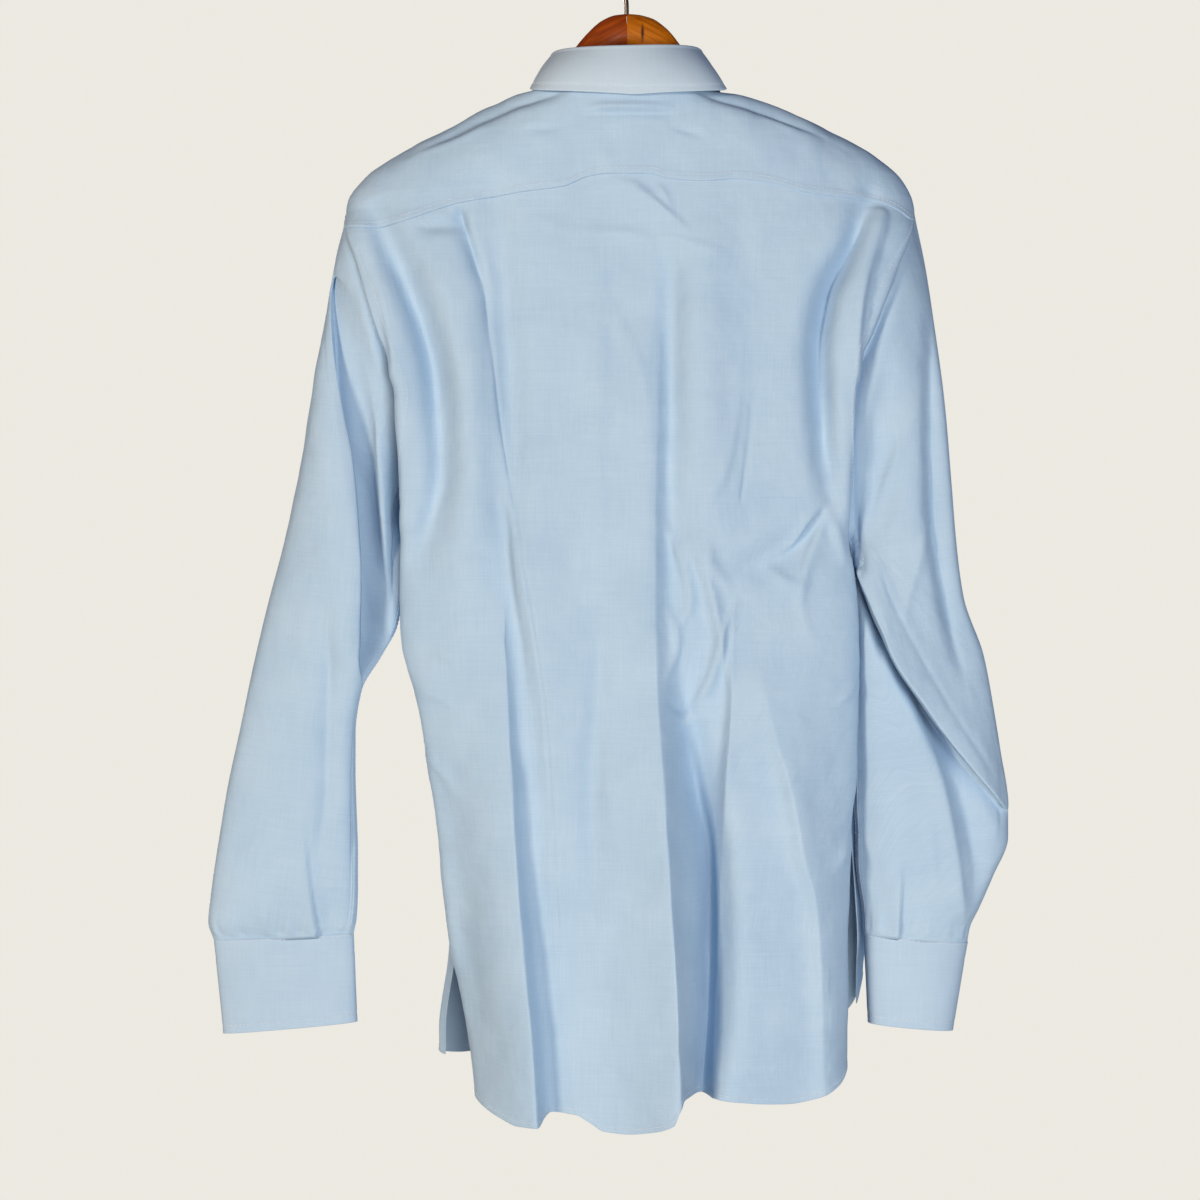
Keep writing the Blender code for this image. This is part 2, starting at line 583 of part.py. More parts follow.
def sleeve_section(side, turn, along):
    """A sleeve's flattened tube, without its folds. along is 0 at the armhole and 1 at the cuff."""
    rows = SLEEVE_SECTIONS[side]
    knots = np.linspace(0, 1, len(rows["outer_x"]))
    outer_x, outer_z, inner_x, inner_z, middle_y, half_thick = (curve(knots, rows[key], along) for key in (
        "outer_x", "outer_z", "inner_x", "inner_z", "middle_y", "half_thick"))
    reach = np.cos(2 * math.pi * turn)
    crown = np.maximum(1 - np.abs(reach) ** SLEEVE_SQUARENESS, 0) ** (1 / SLEEVE_SQUARENESS)
    x = side * ((outer_x + inner_x) / 2 + (outer_x - inner_x) / 2 * reach)
    y = middle_y + half_thick * crown * np.sign(np.sin(2 * math.pi * turn))
    z = (outer_z + inner_z) / 2 + (outer_z - inner_z) / 2 * reach
    return np.stack([x, y, z], axis=-1)


def sleeve(side, turn, along):
    """Points of a sleeve's middle surface, which starts as the armhole and carries the sleeve's folds."""
    start = np.zeros_like(along)
    to_armhole = armhole(side, turn) - sleeve_section(side, turn, start)
    points = sleeve_section(side, turn, along)
    points = points + to_armhole * (1 - smooth_step(along / SLEEVE_HEAD))[..., None]
    behind = np.sin(2 * math.pi * turn) > 0
    calm = (1 - np.abs(np.cos(2 * math.pi * turn)) ** 8) * smooth_step(along / 0.07)
    back_relief = fold_relief(SLEEVE_FOLDS[side], points[..., 0], points[..., 2])
    front_relief = fold_relief(SLEEVE_FRONT_FOLDS[side], points[..., 0], points[..., 2])
    points[..., 1] += calm * np.where(behind, back_relief, -front_relief)
    return points


def make_sleeve(name, side):
    turn, along = grid_params(SLEEVE_GRID)
    points = sleeve(side, turn, along)
    away = points[:, 1] - points[:, 0]
    away /= np.linalg.norm(away, axis=-1)[:, None]
    points[:, 0] += ARMHOLE_GAP * away
    points[:, -1, 2] += SEAM_GAP + (CUFF_WALL - WALL) / 2
    obj = cloth(name, [points], weld=True)
    return face_outwards(obj)


def face_outwards(obj):
    """Turns a tube's faces away from its middle line."""
    mesh = bmesh.new()
    mesh.from_mesh(obj.data)
    middle = sum((vertex.co for vertex in mesh.verts), mesh.verts[:][0].co * 0) / len(mesh.verts)
    mesh.normal_update()
    out = 0.0
    for face in mesh.faces:
        centre = face.calc_center_median()
        out += face.normal.y * (centre.y - middle.y) * face.calc_area()
    if out < 0:
        bmesh.ops.reverse_faces(mesh, faces=mesh.faces)
    mesh.to_mesh(obj.data)
    mesh.free()
    return obj


def cuff(side, turn, down):
    """Points of a cuff. turn goes once round and on, where the cuff laps over its own end in front."""
    ends = CUFFS[side]
    (top_out_x, top_out_z), (low_out_x, low_out_z) = ends["outer"]
    (top_in_x, top_in_z), (low_in_x, low_in_z) = ends["inner"]
    outer_x = top_out_x + (low_out_x - top_out_x) * down
    outer_z = top_out_z + (low_out_z - top_out_z) * down
    inner_x = top_in_x + (low_in_x - top_in_x) * down
    inner_z = top_in_z + (low_in_z - top_in_z) * down
    reach = np.cos(2 * math.pi * turn)
    crown = np.maximum(1 - np.abs(reach) ** SLEEVE_SQUARENESS, 0) ** (1 / SLEEVE_SQUARENESS)
    over = (CUFF_WALL + LAP_CLEARANCE) * smooth_step((turn - CUFF_START - 1 + 0.05) / 0.05)
    x = side * ((outer_x + inner_x) / 2 + (outer_x - inner_x) / 2 * reach)
    y = (ends["half_thick"] * crown + over) * np.sign(np.sin(2 * math.pi * turn))
    z = (outer_z + inner_z) / 2 + (outer_z - inner_z) / 2 * reach
    return np.stack([x, y, z], axis=-1)


def make_cuff(name, side):
    around, down = grid_params(CUFF_GRID)
    points = cuff(side, CUFF_START + around * (1 + CUFF_LAP), down)
    obj = cloth(name, [points], wall=CUFF_WALL)
    return face_outwards(obj)


def make_sleeve_placket(name, side):
    """The band over the cuff opening, on the front of the sleeve near its outer edge."""
    around, up = grid_params(SLEEVE_PLACKET_GRID)
    points = sleeve(side, SLEEVE_PLACKET_TURN[0] + around * (SLEEVE_PLACKET_TURN[1] - SLEEVE_PLACKET_TURN[0]),
                    1 - 0.012 - SLEEVE_PLACKET_LENGTH * up)
    points[..., 1] -= WALL + 2 * LAP_CLEARANCE
    return cloth(name, [points], outward=(0, -1, 0))


def collar_base(place):
    """The neck seam. place is -1 at the centre front on the right, 0 at the centre back and 1 on the left."""
    behind = torso(BACK, np.clip(2 * place, -1, 1), NECK_Z + 0 * place)
    before = torso(FRONT, np.sign(place) * (2 - 2 * np.abs(place)), NECK_Z + 0 * place)
    return np.where((np.abs(place) <= 0.5)[..., None], behind, before)


def collar_out(place):
    """The way out of the neck, level, at each place of the collar."""
    base = collar_base(place) - np.array([0.0, NECK_MIDDLE_Y, 0.0])
    base[..., 2] = 0
    return base / np.linalg.norm(base, axis=-1)[..., None]


def stand(place, up):
    """Points of the collar stand, which leans in as it rises."""
    base = collar_base(place)
    points = base.copy()
    points[..., 0] *= 1 - STAND_LEAN * up
    points[..., 1] = NECK_MIDDLE_Y + (base[..., 1] - NECK_MIDDLE_Y) * (1 - STAND_LEAN * up)
    points[..., 2] += 3 * SEAM_GAP + COLLAR_WALL / 2 + (STAND_HEIGHT - 1.5 - COLLAR_TILT * base[..., 0]) * up
    return points


def make_stand():
    around, up = grid_params(STAND_GRID)
    lap = FRONT_LAP / 72 / math.pi
    place = -1 - lap + around * (2 + 2 * lap)
    points = stand(place, up)
    lift = (COLLAR_WALL + LAP_CLEARANCE) * smooth_step((place - 1 + lap + 0.08) / 0.08)
    points += lift[..., None] * collar_out(place)
    return cloth("collar_stand", [points], wall=COLLAR_WALL, outward=(0, 1, 0))


def collar_front(size):
    """0 on the back half of the collar and 1 on its front quarters."""
    return smooth_step((size - 0.5) / 0.3)


def leaf_edge(place):
    """The collar leaf's lower edge, which lies just off the shoulders and the fronts."""
    size = np.abs(place)
    across = np.sign(place) * curve(LEAF_EDGE["place"], LEAF_EDGE["across"], size)
    ring = curve(LEAF_EDGE["place"], LEAF_EDGE["ring"], size)
    behind = torso(BACK, across, ring)
    before = torso(FRONT, across, ring)
    points = np.where((size <= 0.5)[..., None], behind, before)
    out = collar_out(place)
    out[..., 2] = 0.55
    return points + (LEAF_CLEARANCE + 3 * collar_front(size))[..., None] * out


def leaf(place, down):
    """Points of the collar leaf, from the top of the stand over its roll and down to its lower edge."""
    top = stand(place, np.ones_like(place))
    out = collar_out(place)
    rise = np.array([0.0, 0.0, 1.0])
    roll = np.clip(down / LEAF_ROLL, 0, 1)
    fall = np.clip((down - LEAF_ROLL) / (1 - LEAF_ROLL), 0, 1)
    bend = math.pi * roll
    start = top + rise * (COLLAR_WALL + SEAM_GAP)
    rolled = start + out * (LEAF_ROLL_RADIUS * (1 - np.cos(bend)))[..., None]
    rolled += rise * (LEAF_ROLL_RADIUS * np.sin(bend))[..., None]
    edge = leaf_edge(place)
    points = rolled + (edge - rolled) * fall[..., None]
    bulge = LEAF_BULGE + 5 * collar_front(np.abs(place))
    return points + out * (bulge * np.sin(math.pi * fall))[..., None]


def make_leaf():
    around, down = grid_params(LEAF_GRID)
    down = np.concatenate([[0, LEAF_ROLL / 2, LEAF_ROLL], np.linspace(LEAF_ROLL, 1, LEAF_GRID[1] - 1)[1:]])
    down = down[None, :] + 0 * around
    points = leaf(-LEAF_END + 2 * LEAF_END * around, down)
    return cloth("collar_leaf", [points], wall=COLLAR_WALL, outward=(0, 0, 1))


def add_button(name, centre, normal, radius):
    """A round button whose back lies on a surface at centre, facing along normal."""
    normal = np.asarray(normal, float) / np.linalg.norm(normal)
    mesh = bmesh.new()
    bmesh.ops.create_cone(mesh, cap_ends=True, segments=14, radius1=radius * MM, radius2=radius * 0.93 * MM,
                          depth=BUTTON_THICK * MM)
    obj = finish_mesh(name, mesh, "shell button")
    away = WALL / 2 + 2 * SEAM_GAP + BUTTON_THICK / 2
    obj.location = [float(value) for value in (np.asarray(centre) + normal * away) * MM]
    obj.rotation_mode = "QUATERNION"
    turn_axis = np.cross((0, 0, 1), normal)
    angle = math.acos(float(np.clip(normal[2], -1, 1)))
    turn_axis = turn_axis / max(np.linalg.norm(turn_axis), 1e-9)
    obj.rotation_quaternion = (math.cos(angle / 2), *(float(v) * math.sin(angle / 2) for v in turn_axis))
    return obj


def normal_of(surface, a, b, step_a, step_b):
    """The normal of a surface function at (a, b), towards the front."""
    a = np.array([a], float)
    b = np.array([b], float)
    one = surface(a + step_a, b) - surface(a - step_a, b)
    two = surface(a, b + step_b) - surface(a, b - step_b)
    normal = np.cross(one, two)[0]
    return -normal if normal[1] > 0 else normal


def make_buttons():
    for number in range(FRONT_BUTTONS):
        ring = FRONT_BUTTON_TOP_Z - FRONT_BUTTON_PITCH * number
        centre = placket_point(np.array([0.0]), np.array([ring]))[0]
        normal = normal_of(placket_point, 0.0, ring, 4, 6)
        add_button(f"button_front_{number + 1}", centre, normal, BUTTON_RADIUS)

    def stand_outside(place, up):
        points = stand(place, up)
        return points + (COLLAR_WALL + LAP_CLEARANCE) * collar_out(place)

    centre = stand_outside(np.array([1.0]), np.array([0.5]))[0] + (0, -(COLLAR_WALL - WALL) / 2 - 0.2, 0)
    add_button("button_collar", centre, normal_of(stand_outside, 1.0, 0.5, 0.01, 0.2), BUTTON_RADIUS)
    for name, side in (("button_cuff_left", LEFT), ("button_cuff_right", RIGHT)):
        turn = 1 + CUFF_START + CUFF_LAP / 2
        centre = cuff(side, np.array([turn]), np.array([0.5]))[0] + (0, -(CUFF_WALL - WALL) / 2 - 0.2, 0)
        add_button(name, centre, normal_of(lambda a, b, side=side: cuff(side, a, b), turn, 0.5, 0.02, 0.2),
                   CUFF_BUTTON_RADIUS)


def make_arm(name, side, material):
    """A half of the hanger: an oval section swept under the shoulder, with flat ends."""
    corners = 12
    rows = HANGER_ARM
    x = np.array(rows["x"], float)
    x[0] = WOOD_GAP / 2
    top = np.array(rows["top_z"], float) + ARM_RISE[side] * np.maximum(x - 42, 0)
    slope = np.gradient(top, x)
    slope[0] = 0.0
    length = np.hypot(1, slope)
    mesh = bmesh.new()
    points = np.zeros((corners + 1, len(x), 3))
    for row in range(len(x)):
        normal = np.array([-slope[row], 1.0]) / length[row]
        high = rows["half_high"][row]
        for corner in range(corners + 1):
            angle = 2 * math.pi * corner / corners
            up = high * (math.cos(angle) - 1)
            points[corner, row] = (side * (x[row] + normal[0] * up),
                                   rows["y"][row] + rows["half_wide"][row] * math.sin(angle),
                                   top[row] + normal[1] * up)
    add_grid(mesh, points)
    bmesh.ops.remove_doubles(mesh, verts=mesh.verts, dist=0.00002)
    rim = [edge for edge in mesh.edges if edge.is_boundary]
    bmesh.ops.holes_fill(mesh, edges=rim, sides=0)
    bmesh.ops.recalc_face_normals(mesh, faces=mesh.faces)
    return finish_mesh(name, mesh, material)


def make_hook():
    """The wire hook: a stem that rises from the wood, leans out and goes round over the origin."""
    stem_foot = WOOD_TOP_Z + SEAM_GAP
    points = [(0.0, stem_foot), (0.0, stem_foot + 7), (0.4, stem_foot + 12), (4.0, stem_foot + 18)]
    middle_z = HOOK_WIRE - HOOK_BEND
    for step in range(15):
        angle = math.radians(-52 + step * 17)
        points.append((HOOK_BEND * math.cos(angle), middle_z + HOOK_BEND * math.sin(angle)))
    data = bpy.data.curves.new("hanger_hook", "CURVE")
    data.dimensions = "3D"
    data.bevel_depth = HOOK_WIRE * MM
    data.bevel_resolution = 2
    data.use_fill_caps = True
    line = data.splines.new("POLY")
    line.points.add(len(points) - 1)
    for knot, (x, z) in zip(line.points, points):
        knot.co = (x * MM, 0.0, z * MM, 1.0)
    data.materials.append(material_named("steel wire"))
    obj = bpy.data.objects.new("hanger_hook", data)
    bpy.context.scene.collection.objects.link(obj)
    return obj


def main():
    clear_scene()
    make_back()
    make_yoke()
    make_front("front_left", LEFT)
    make_front("front_right", RIGHT)
    make_placket()
    make_stand()
    make_leaf()
    for name, side in (("left", LEFT), ("right", RIGHT)):
        make_sleeve("sleeve_" + name, side)
        make_sleeve_placket("sleeve_placket_" + name, side)
        make_cuff("cuff_" + name, side)
    make_buttons()
    make_arm("hanger_left", LEFT, "dark wood")
    make_arm("hanger_right", RIGHT, "light wood")
    make_hook()


main()
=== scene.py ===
"""The looks of a long sleeve dress shirt on its wooden hanger.

Sizes are in millimetres until a mesh is filled. +Z is up, the shirt's front faces -Y, its back +Y, and +X is
the wearer's left. Each cloth piece is a fine grid on a surface close to its CAD panel's, dressed with small
creases, seam bands and hems, and then given the cloth's thickness. Folds are rows of short tables.
"""

import math

import bmesh
import bpy
import numpy as np
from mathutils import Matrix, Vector


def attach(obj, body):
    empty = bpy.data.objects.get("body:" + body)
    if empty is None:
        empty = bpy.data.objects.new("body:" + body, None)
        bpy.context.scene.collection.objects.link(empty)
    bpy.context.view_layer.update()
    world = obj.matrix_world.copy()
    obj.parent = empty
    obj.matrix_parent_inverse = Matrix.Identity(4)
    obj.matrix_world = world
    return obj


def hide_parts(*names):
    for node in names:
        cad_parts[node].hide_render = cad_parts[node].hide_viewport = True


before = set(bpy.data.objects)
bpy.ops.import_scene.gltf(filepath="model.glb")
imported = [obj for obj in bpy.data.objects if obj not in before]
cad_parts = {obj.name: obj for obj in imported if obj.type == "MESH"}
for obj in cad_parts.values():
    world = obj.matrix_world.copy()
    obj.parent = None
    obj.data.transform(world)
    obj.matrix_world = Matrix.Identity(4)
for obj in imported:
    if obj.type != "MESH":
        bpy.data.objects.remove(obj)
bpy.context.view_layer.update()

MM = 0.001
BACK, FRONT = 1, -1
LEFT, RIGHT = 1, -1

# Cloth
CLOTH = 0.7
DOUBLE_CLOTH = 1.4
THREAD_RADIUS = 0.26
BUTTON_THREAD_RADIUS = 0.24
STITCH_LENGTH = 2.6
STITCH_GAP = 0.9
HEM = 5.0
HEM_STITCH = 4.0
# Rows of a grid that lie close to an edge of it, as distances from that edge
HEM_ROWS = (0.7, 3.6, 4.4, 5.4)
SLEEVE_START_ROWS = (1.2, 2.4, 4, 6, 9)
SLEEVE_END_ROWS = (1, 2, 3.5, 5, 7)
ARMHOLE_ALLOWANCE = 10.0
ARMHOLE_STITCH = 9.0
YOKE_ROWS = 72
WELD = 0.00002
# How deep the cloth's small waves are, and by how much the back's folds and creases outdo their rows.
WORN = 1.5
FULLER_FOLDS = 1.25
CREASED = 1.5

# Light and camera. Lengths are in metres, but the sensor is in millimetres.
ROOM_LIGHT = 0.12
WALLS_SEEN = 0.93
FLOOR_RADIUS = 1.9
FLOOR_Z = -1.7
SENSOR = 36
CAMERA_DISTANCE = 2.1
PICTURE_SIZE = 0.96
PICTURE_CENTRE = (0.0216, -0.5288)
PICTURE_PLANE_Y = 0.03

# Lengths of the body
NECK_Z = -116.0
SHOULDER_Z = -212.0
UNDERARM_Z = -481.0
CHEST_Z = -300.0
FRONT_NECK_DROP = 76.0

# Front closure
FRONT_LAP = 17.0
LAP_LIFT = 1.9
PLACKET_LIFT = 1.9
YOKE_FRONT_END_Z = -228.0
FRONT_BUTTONS = 6
FRONT_BUTTON_TOP_Z = -268.0
FRONT_BUTTON_PITCH = 92.0
BUTTON_RADIUS = 5.6
BUTTON_THICK = 2.4

# Collar
NECK_MIDDLE_Y = -11.0
STAND_HEIGHT = 24.4
COLLAR_TILT = 0.02
COLLAR_SIDE_RISE = 4.5
STAND_LEAN = 0.2
STAND_FOOT = 1.7
LEAF_ROLL_RADIUS = 2.0
LEAF_ROLL = 0.12
LEAF_BULGE = 2.5
LEAF_CLEARANCE = 4.0
LEAF_END = 0.965

# Sleeves and cuffs
SLEEVE_SQUARENESS = 2.4
SLEEVE_HEAD = 0.16
CUFF_WALL = 1.8
CUFF_START = 0.86
CUFF_LAP = 0.11
CUFF_HEIGHT = 75.0
CUFF_EDGE_STITCH = 6.5
CUFF_SEAM_STITCH = 1.6
SLEEVE_LENGTH = 600.0
SLEEVE_PLACKET_TURN = (0.82, 0.9)
SLEEVE_PLACKET_LENGTH = 0.36
SLEEVE_PLACKET_LIFT = 2.4
FELLED_STITCHES = (1.8, 7.0)

# Outline of the body seen from behind: height, and how far it reaches to each side.
OUTLINE = {
    "z": (-116, -121, -128, -146, -168, -187, -205, -212, -229, -257, -289, -317, -333, -365, -425, -481,
          -529, -561, -618, -674, -707, -770, -802, -884, -960),
    "left": (72, 85, 104, 144, 187, 214, 227, 228, 227, 217, 207, 198, 191, 182, 184, 186, 188,
             186, 172, 163, 158, 151, 146, 131, 120),
    "right": (72, 88, 113, 160, 202, 224, 233, 234, 231, 219, 206, 195, 188, 185, 185, 187, 191,
              192, 191, 189, 185, 182, 181, 180, 176),
}
FRONT_OUTLINE = {
    "z": OUTLINE["z"],
    "left": OUTLINE["left"][:19] + (162, 158, 152, 149, 158, 158),
    "right": OUTLINE["right"][:19] + (191, 194, 197, 198, 198, 194),
}
# How far the face of the back and of the fronts stands from the hanger's plane, and how square a ring is.
FACES = {
    "z": (-116, -146, -190, -229, -300, -400, -600, -800, -960),
    "back": (50, 48, 45, 42, 40, 40, 43, 47, 50),
    "front": (-71, -69, -64, -59, -51, -46, -46, -50, -54),
    "squareness": (2.0, 2.05, 2.2, 2.6, 3.0, 3.2, 3.2, 3.0, 3.0),
}
# Where the edges of the back and the fronts lie: the shoulder ridge, the armhole seams, then the side seam.
EDGES = {
    "z": (-116, -146, -187, -205, -212, -218, -229, -257, -300, -365, -425, -465, -481, -560, -802, -830,
          -960),
    "back": (-11, -9, -12, -12, -11, -6, 5, 22, 32, 30, 18, 4, -4, -3, -2, -2, 0),
    "front": (-11, -9, -12, -12, -11, -20, -33, -43, -45, -42, -30, -13, -4, -3, -2, -16, -40),
    "tuck": (0, 0, 0, 0, 0, 0, 0, 0, 0, 3, 7, 12, 14, 16, 10.5, 10, 9),
}
# The seam between the yoke and the back, then the two shirt-tail hems.
YOKE_SEAM = {
    "x": (-228, -215, -200, -166, -139, -122, -86, -62, -32, -18,
          12, 30, 51, 83, 137, 185, 205, 222),
    "z": (-222, -214, -209, -206, -203, -198, -194, -196, -194, -190,
          -190, -192, -200, -204, -213, -227, -230, -229),
}
BACK_HEM = {
    "x": (-185, -182, -176, -167, -149, -129, -108, -88, -65, -50, -44, -40, -36, -18,
          2, 18, 30, 42, 61, 67, 71, 85, 101, 118, 124, 132, 142, 148),
    "z": (-800, -880, -903, -916, -925, -928, -927, -925, -923, -921, -920, -930, -939, -946,
          -949, -948, -941, -935, -934, -938, -943, -943, -938, -929, -922, -897, -850, -800),
}
FRONT_HEM = {
    "x": (-199, -194, -187, -163, -110, -50, 0, 50, 100, 134, 151, 158, 162),
    "z": (-790, -838, -862, -886, -899, -903, -903, -903, -903, -904, -902, -893, -790),
}

# Folds. A row is its name, how far it dies away on the side of +X and on the other side as it is followed
# down, its power, where 1 makes a sharp crest, and its points: how far left, height, and how proud it is.
BACK_FOLDS = (
    ("centre pleat edge", 46, 13, 1.3,
     ((-28, -293, 0), (-23, -369, 5), (-22, -529, 8), (-24, -609, 12), (-29, -689, 19),
      (-34, -769, 25), (-39, -849, 29), (-42, -950, 32))),
    ("deep trough right of the pleat", 11, 13, 2,
     ((-40, -560, 0), (-50, -640, -12), (-58, -690, -19), (-66, -729, -24), (-68, -793, -28),
      (-67, -849, -28), (-58, -925, -23))),
    ("right of the deep trough", 4, 80, 1.5,
     ((-86, -529, 0), (-83, -609, 7), (-78, -689, 12), (-74, -769, 14), (-71, -849, 14), (-68, -930, 12))),
    ("left panel edge", 44, 6, 1.5,
     ((98, -520, 0), (97, -561, 5), (91, -689, 13), (82, -809, 20), (75, -880, 22), (71, -955, 22))),
    ("left waist dart", 10, 30, 1.6,
     ((114, -289, 0), (103, -369, 3), (91, -449, 6), (78, -529, 8), (66, -609, 7), (60, -689, 5),
      (54, -801, 4), (42, -930, 3))),
    ("left soft band", 15, 13, 2,
     ((104, -205, -3), (98, -289, -7), (94, -369, -8), (90, -449, -5), (88, -500, 0))),
    ("left armhole trough", 10, 13, 2,
     ((205, -205, 0), (196, -233, -9), (178, -273, -14), (160, -325, -15), (152, -369, -13),
      (148, -421, -10), (163, -491, -3))),
    ("left blade", 20, 20, 2,
     ((150, -225, 0), (140, -289, 6), (128, -369, 8), (126, -449, 6), (132, -529, 3), (134, -600, 0))),
    ("centre band", 12, 10, 2,
     ((-34, -240, 0), (-36, -289, -6), (-35, -369, -8), (-33, -449, -7), (-33, -529, -4), (-36, -590, 0))),
    ("right blade", 24, 24, 2,
     ((-58, -205, 2), (-60, -289, 7), (-62, -369, 8), (-70, -449, 5), (-74, -520, 0))),
    ("right armhole trough", 11, 9, 2,
     ((-196, -206, -4), (-178, -253, -14), (-161, -286, -18), (-154, -334, -17), (-158, -401, -12),
      (-162, -445, -5), (-160, -480, 0))),
    ("right long crease", 8, 26, 1.5,
     ((-104, -580, 0), (-119, -641, 5), (-132, -689, 8), (-140, -734, 8), (-148, -762, 8),
      (-153, -804, 7), (-156, -900, 5), (-158, -960, 4))),
    ("right waist pull", 12, 14, 2,
     ((-158, -453, 0), (-140, -478, -6), (-122, -492, -8), (-95, -505, -4), (-76, -515, 0))),
    ("left side hollow", 15, 16, 2,
     ((150, -640, 0), (138, -720, -5), (128, -800, -7), (118, -900, -5))),
)
# Lines that columns of the back's grid follow, so that its creases stay crisp: how far left, and height.
BACK_LINES = (
    ((-166, -190), (-160, -334), (-150, -420), (-128, -500), (-112, -600), (-132, -689), (-148, -762),
     (-156, -860), (-158, -960)),
    ((-92, -190), (-90, -400), (-86, -529), (-83, -609), (-78, -689), (-74, -769), (-71, -849), (-68, -960)),
    ((-28, -190), (-28, -293), (-23, -369), (-22, -529), (-24, -609), (-29, -689), (-34, -769), (-39, -849),
     (-42, -960)),
    ((137, -190), (129, -231), (119, -258), (112, -286), (103, -369), (91, -449), (78, -529), (66, -609),
     (60, -689), (54, -801), (42, -960)),
    ((152, -190), (140, -300), (122, -400), (104, -500), (97, -561), (91, -689), (82, -809), (75, -880),
     (71, -960)),
)
BACK_COLUMNS = (38, 24, 32, 40, 14, 34)
BACK_CREASES = (
    ("upper sag", 4, 4, 1.6, ((78, -218, 0), (41, -235, 1), (-5, -237, 1.3), (-25, -251, 0))),
    ("low sag", 4, 3, 1.6, ((-18, -237, 0), (-50, -245, 1), (-82, -256, 0))),
    ("right blade line", 7, 4, 1.6, ((-91, -355, 0), (-84, -400, 0.9), (-76, -430, 1.2), (-55, -465, 0))),
    ("dart step", 12, 2.5, 1.7,
     ((104, -440, 0), (97, -470, -2.4), (92, -520, -3.2), (86, -560, -2.4), (80, -610, 0))),
    ("left waist smile", 5, 5, 1.8, ((148, -484, 0), (126, -490, -1.6), (104, -487, 0))),
    ("left waist pull", 4, 5, 1.6, ((158, -563, 0), (142, -574, 1.6), (126, -580, 0))),
    ("diagonal pull", 10, 2.6, 1.4, ((4, -192, 1.2), (-10, -202, 2.3), (-30, -218, 2.6), (-54, -240, 0))),
    ("short pull", 8, 2.6, 1.5, ((-22, -196, 0), (-30, -206, 1.4), (-38, -222, 0))),
    ("left blade trough", 7, 3, 1.6,
     ((137, -206, -2.6), (129, -231, -4.8), (119, -258, -4.8), (112, -286, -2.2), (110, -329, -1),
      (110, -378, 0))),
    ("smile", 6, 6, 2, ((175, -222, 0), (158, -230, -2.2), (140, -230, -2.2), (129, -220, 0))),
    ("right armhole fold", 14, 3, 1.6,
     ((-208, -205, 1), (-203, -229, 4), (-197, -249, 5), (-188, -283, 6), (-184, -315, 5), (-182, -350, 2))),
    ("left armhole edge", 3, 10, 1.6,
     ((203, -262, 0), (192, -305, 2.5), (184, -345, 4), (179, -385, 4), (177, -430, 4), (178, -480, 2.5),
      (180, -530, 0))),
    ("left dart seam", 1.6, 1.6, 1.6,
     ((114, -283, 0), (112, -286, -0.5), (103, -369, -0.9), (91, -449, -0.9), (78, -529, -0.9),
      (66, -609, -0.9), (60, -689, -0.9), (54, -801, -0.6), (51, -830, 0))),
    ("right dart seam", 2, 2, 1.6, ((-103, -355, 0), (-100, -375, -0.9), (-92, -440, -0.9), (-89, -455, 0))),
    ("left side line", 6, 4, 1.8, ((145, -418, 0), (154, -457, -1.4), (166, -494, 0))),
    ("centre left edge", 16, 5, 1.6, ((18, -241, 0), (21, -313, 1.6), (22, -417, 1.8), (20, -537, 0))),
    ("leaning crease", 5, 5, 1.8, ((15, -287, 0), (6, -311, 1.5), (-6, -335, 1.6), (-20, -388, 0))),
    ("star upper", 6, 3, 1.5, ((-159, -449, 0.5), (-143, -466, 2.8), (-130, -485, 2.4), (-94, -506, 0))),
    ("star middle", 4, 5, 1.6,
     ((-164, -454, 0.5), (-153, -477, 2.8), (-145, -497, 2.4), (-138, -530, 1.6), (-154, -574, 0))),
    ("star low", 3, 5, 1.6, ((-159, -454, 0.5), (-169, -478, 2.4), (-176, -503, 0))),
    ("star fan", 4, 3, 1.6, ((-106, -497, 0), (-126, -513, 2), (-148, -521, 0))),
    ("cluster ridge", 4, 6, 1.5,
     ((-50, -473, 0), (-60, -501, 4), (-73, -561, 4.5), (-58, -609, 4), (-42, -633, 0))),
    ("cluster cross", 3, 4, 1.6, ((-28, -465, 0), (-44, -497, 3), (-50, -529, 3), (-33, -561, 0))),
    ("cluster slant", 3, 5, 1.6, ((-89, -526, 0), (-76, -561, 3), (-82, -601, 0))),
    ("cluster low", 3, 4, 1.7, ((-30, -609, 0), (-50, -618, -3), (-68, -601, 0))),
    ("cluster left", 3, 3, 1.7, ((-30, -530, 0), (-40, -560, 2.4), (-30, -596, 0))),
    ("cluster tip", 3, 5, 1.6, ((-62, -470, 0), (-66, -500, 2.6), (-84, -520, 0))),
    ("left waist line", 4, 3, 1.7, ((170, -600, 0), (150, -606, 1.6), (128, -618, 0))),
    ("left hip line", 4, 3, 1.7, ((164, -650, 0), (146, -668, 1.6), (134, -690, 0))),
    ("right hip line", 3, 4, 1.7, ((-186, -590, 0), (-176, -604, 2), (-168, -612, 0))),
    ("middle trough", 9, 9, 2, ((18, -529, 0), (23, -601, -3), (28, -689, -3), (25, -769, 0))),
    ("right side crease", 5, 4, 1.6, ((-164, -747, 0), (-172, -732, 2.4), (-180, -716, 0))),
)
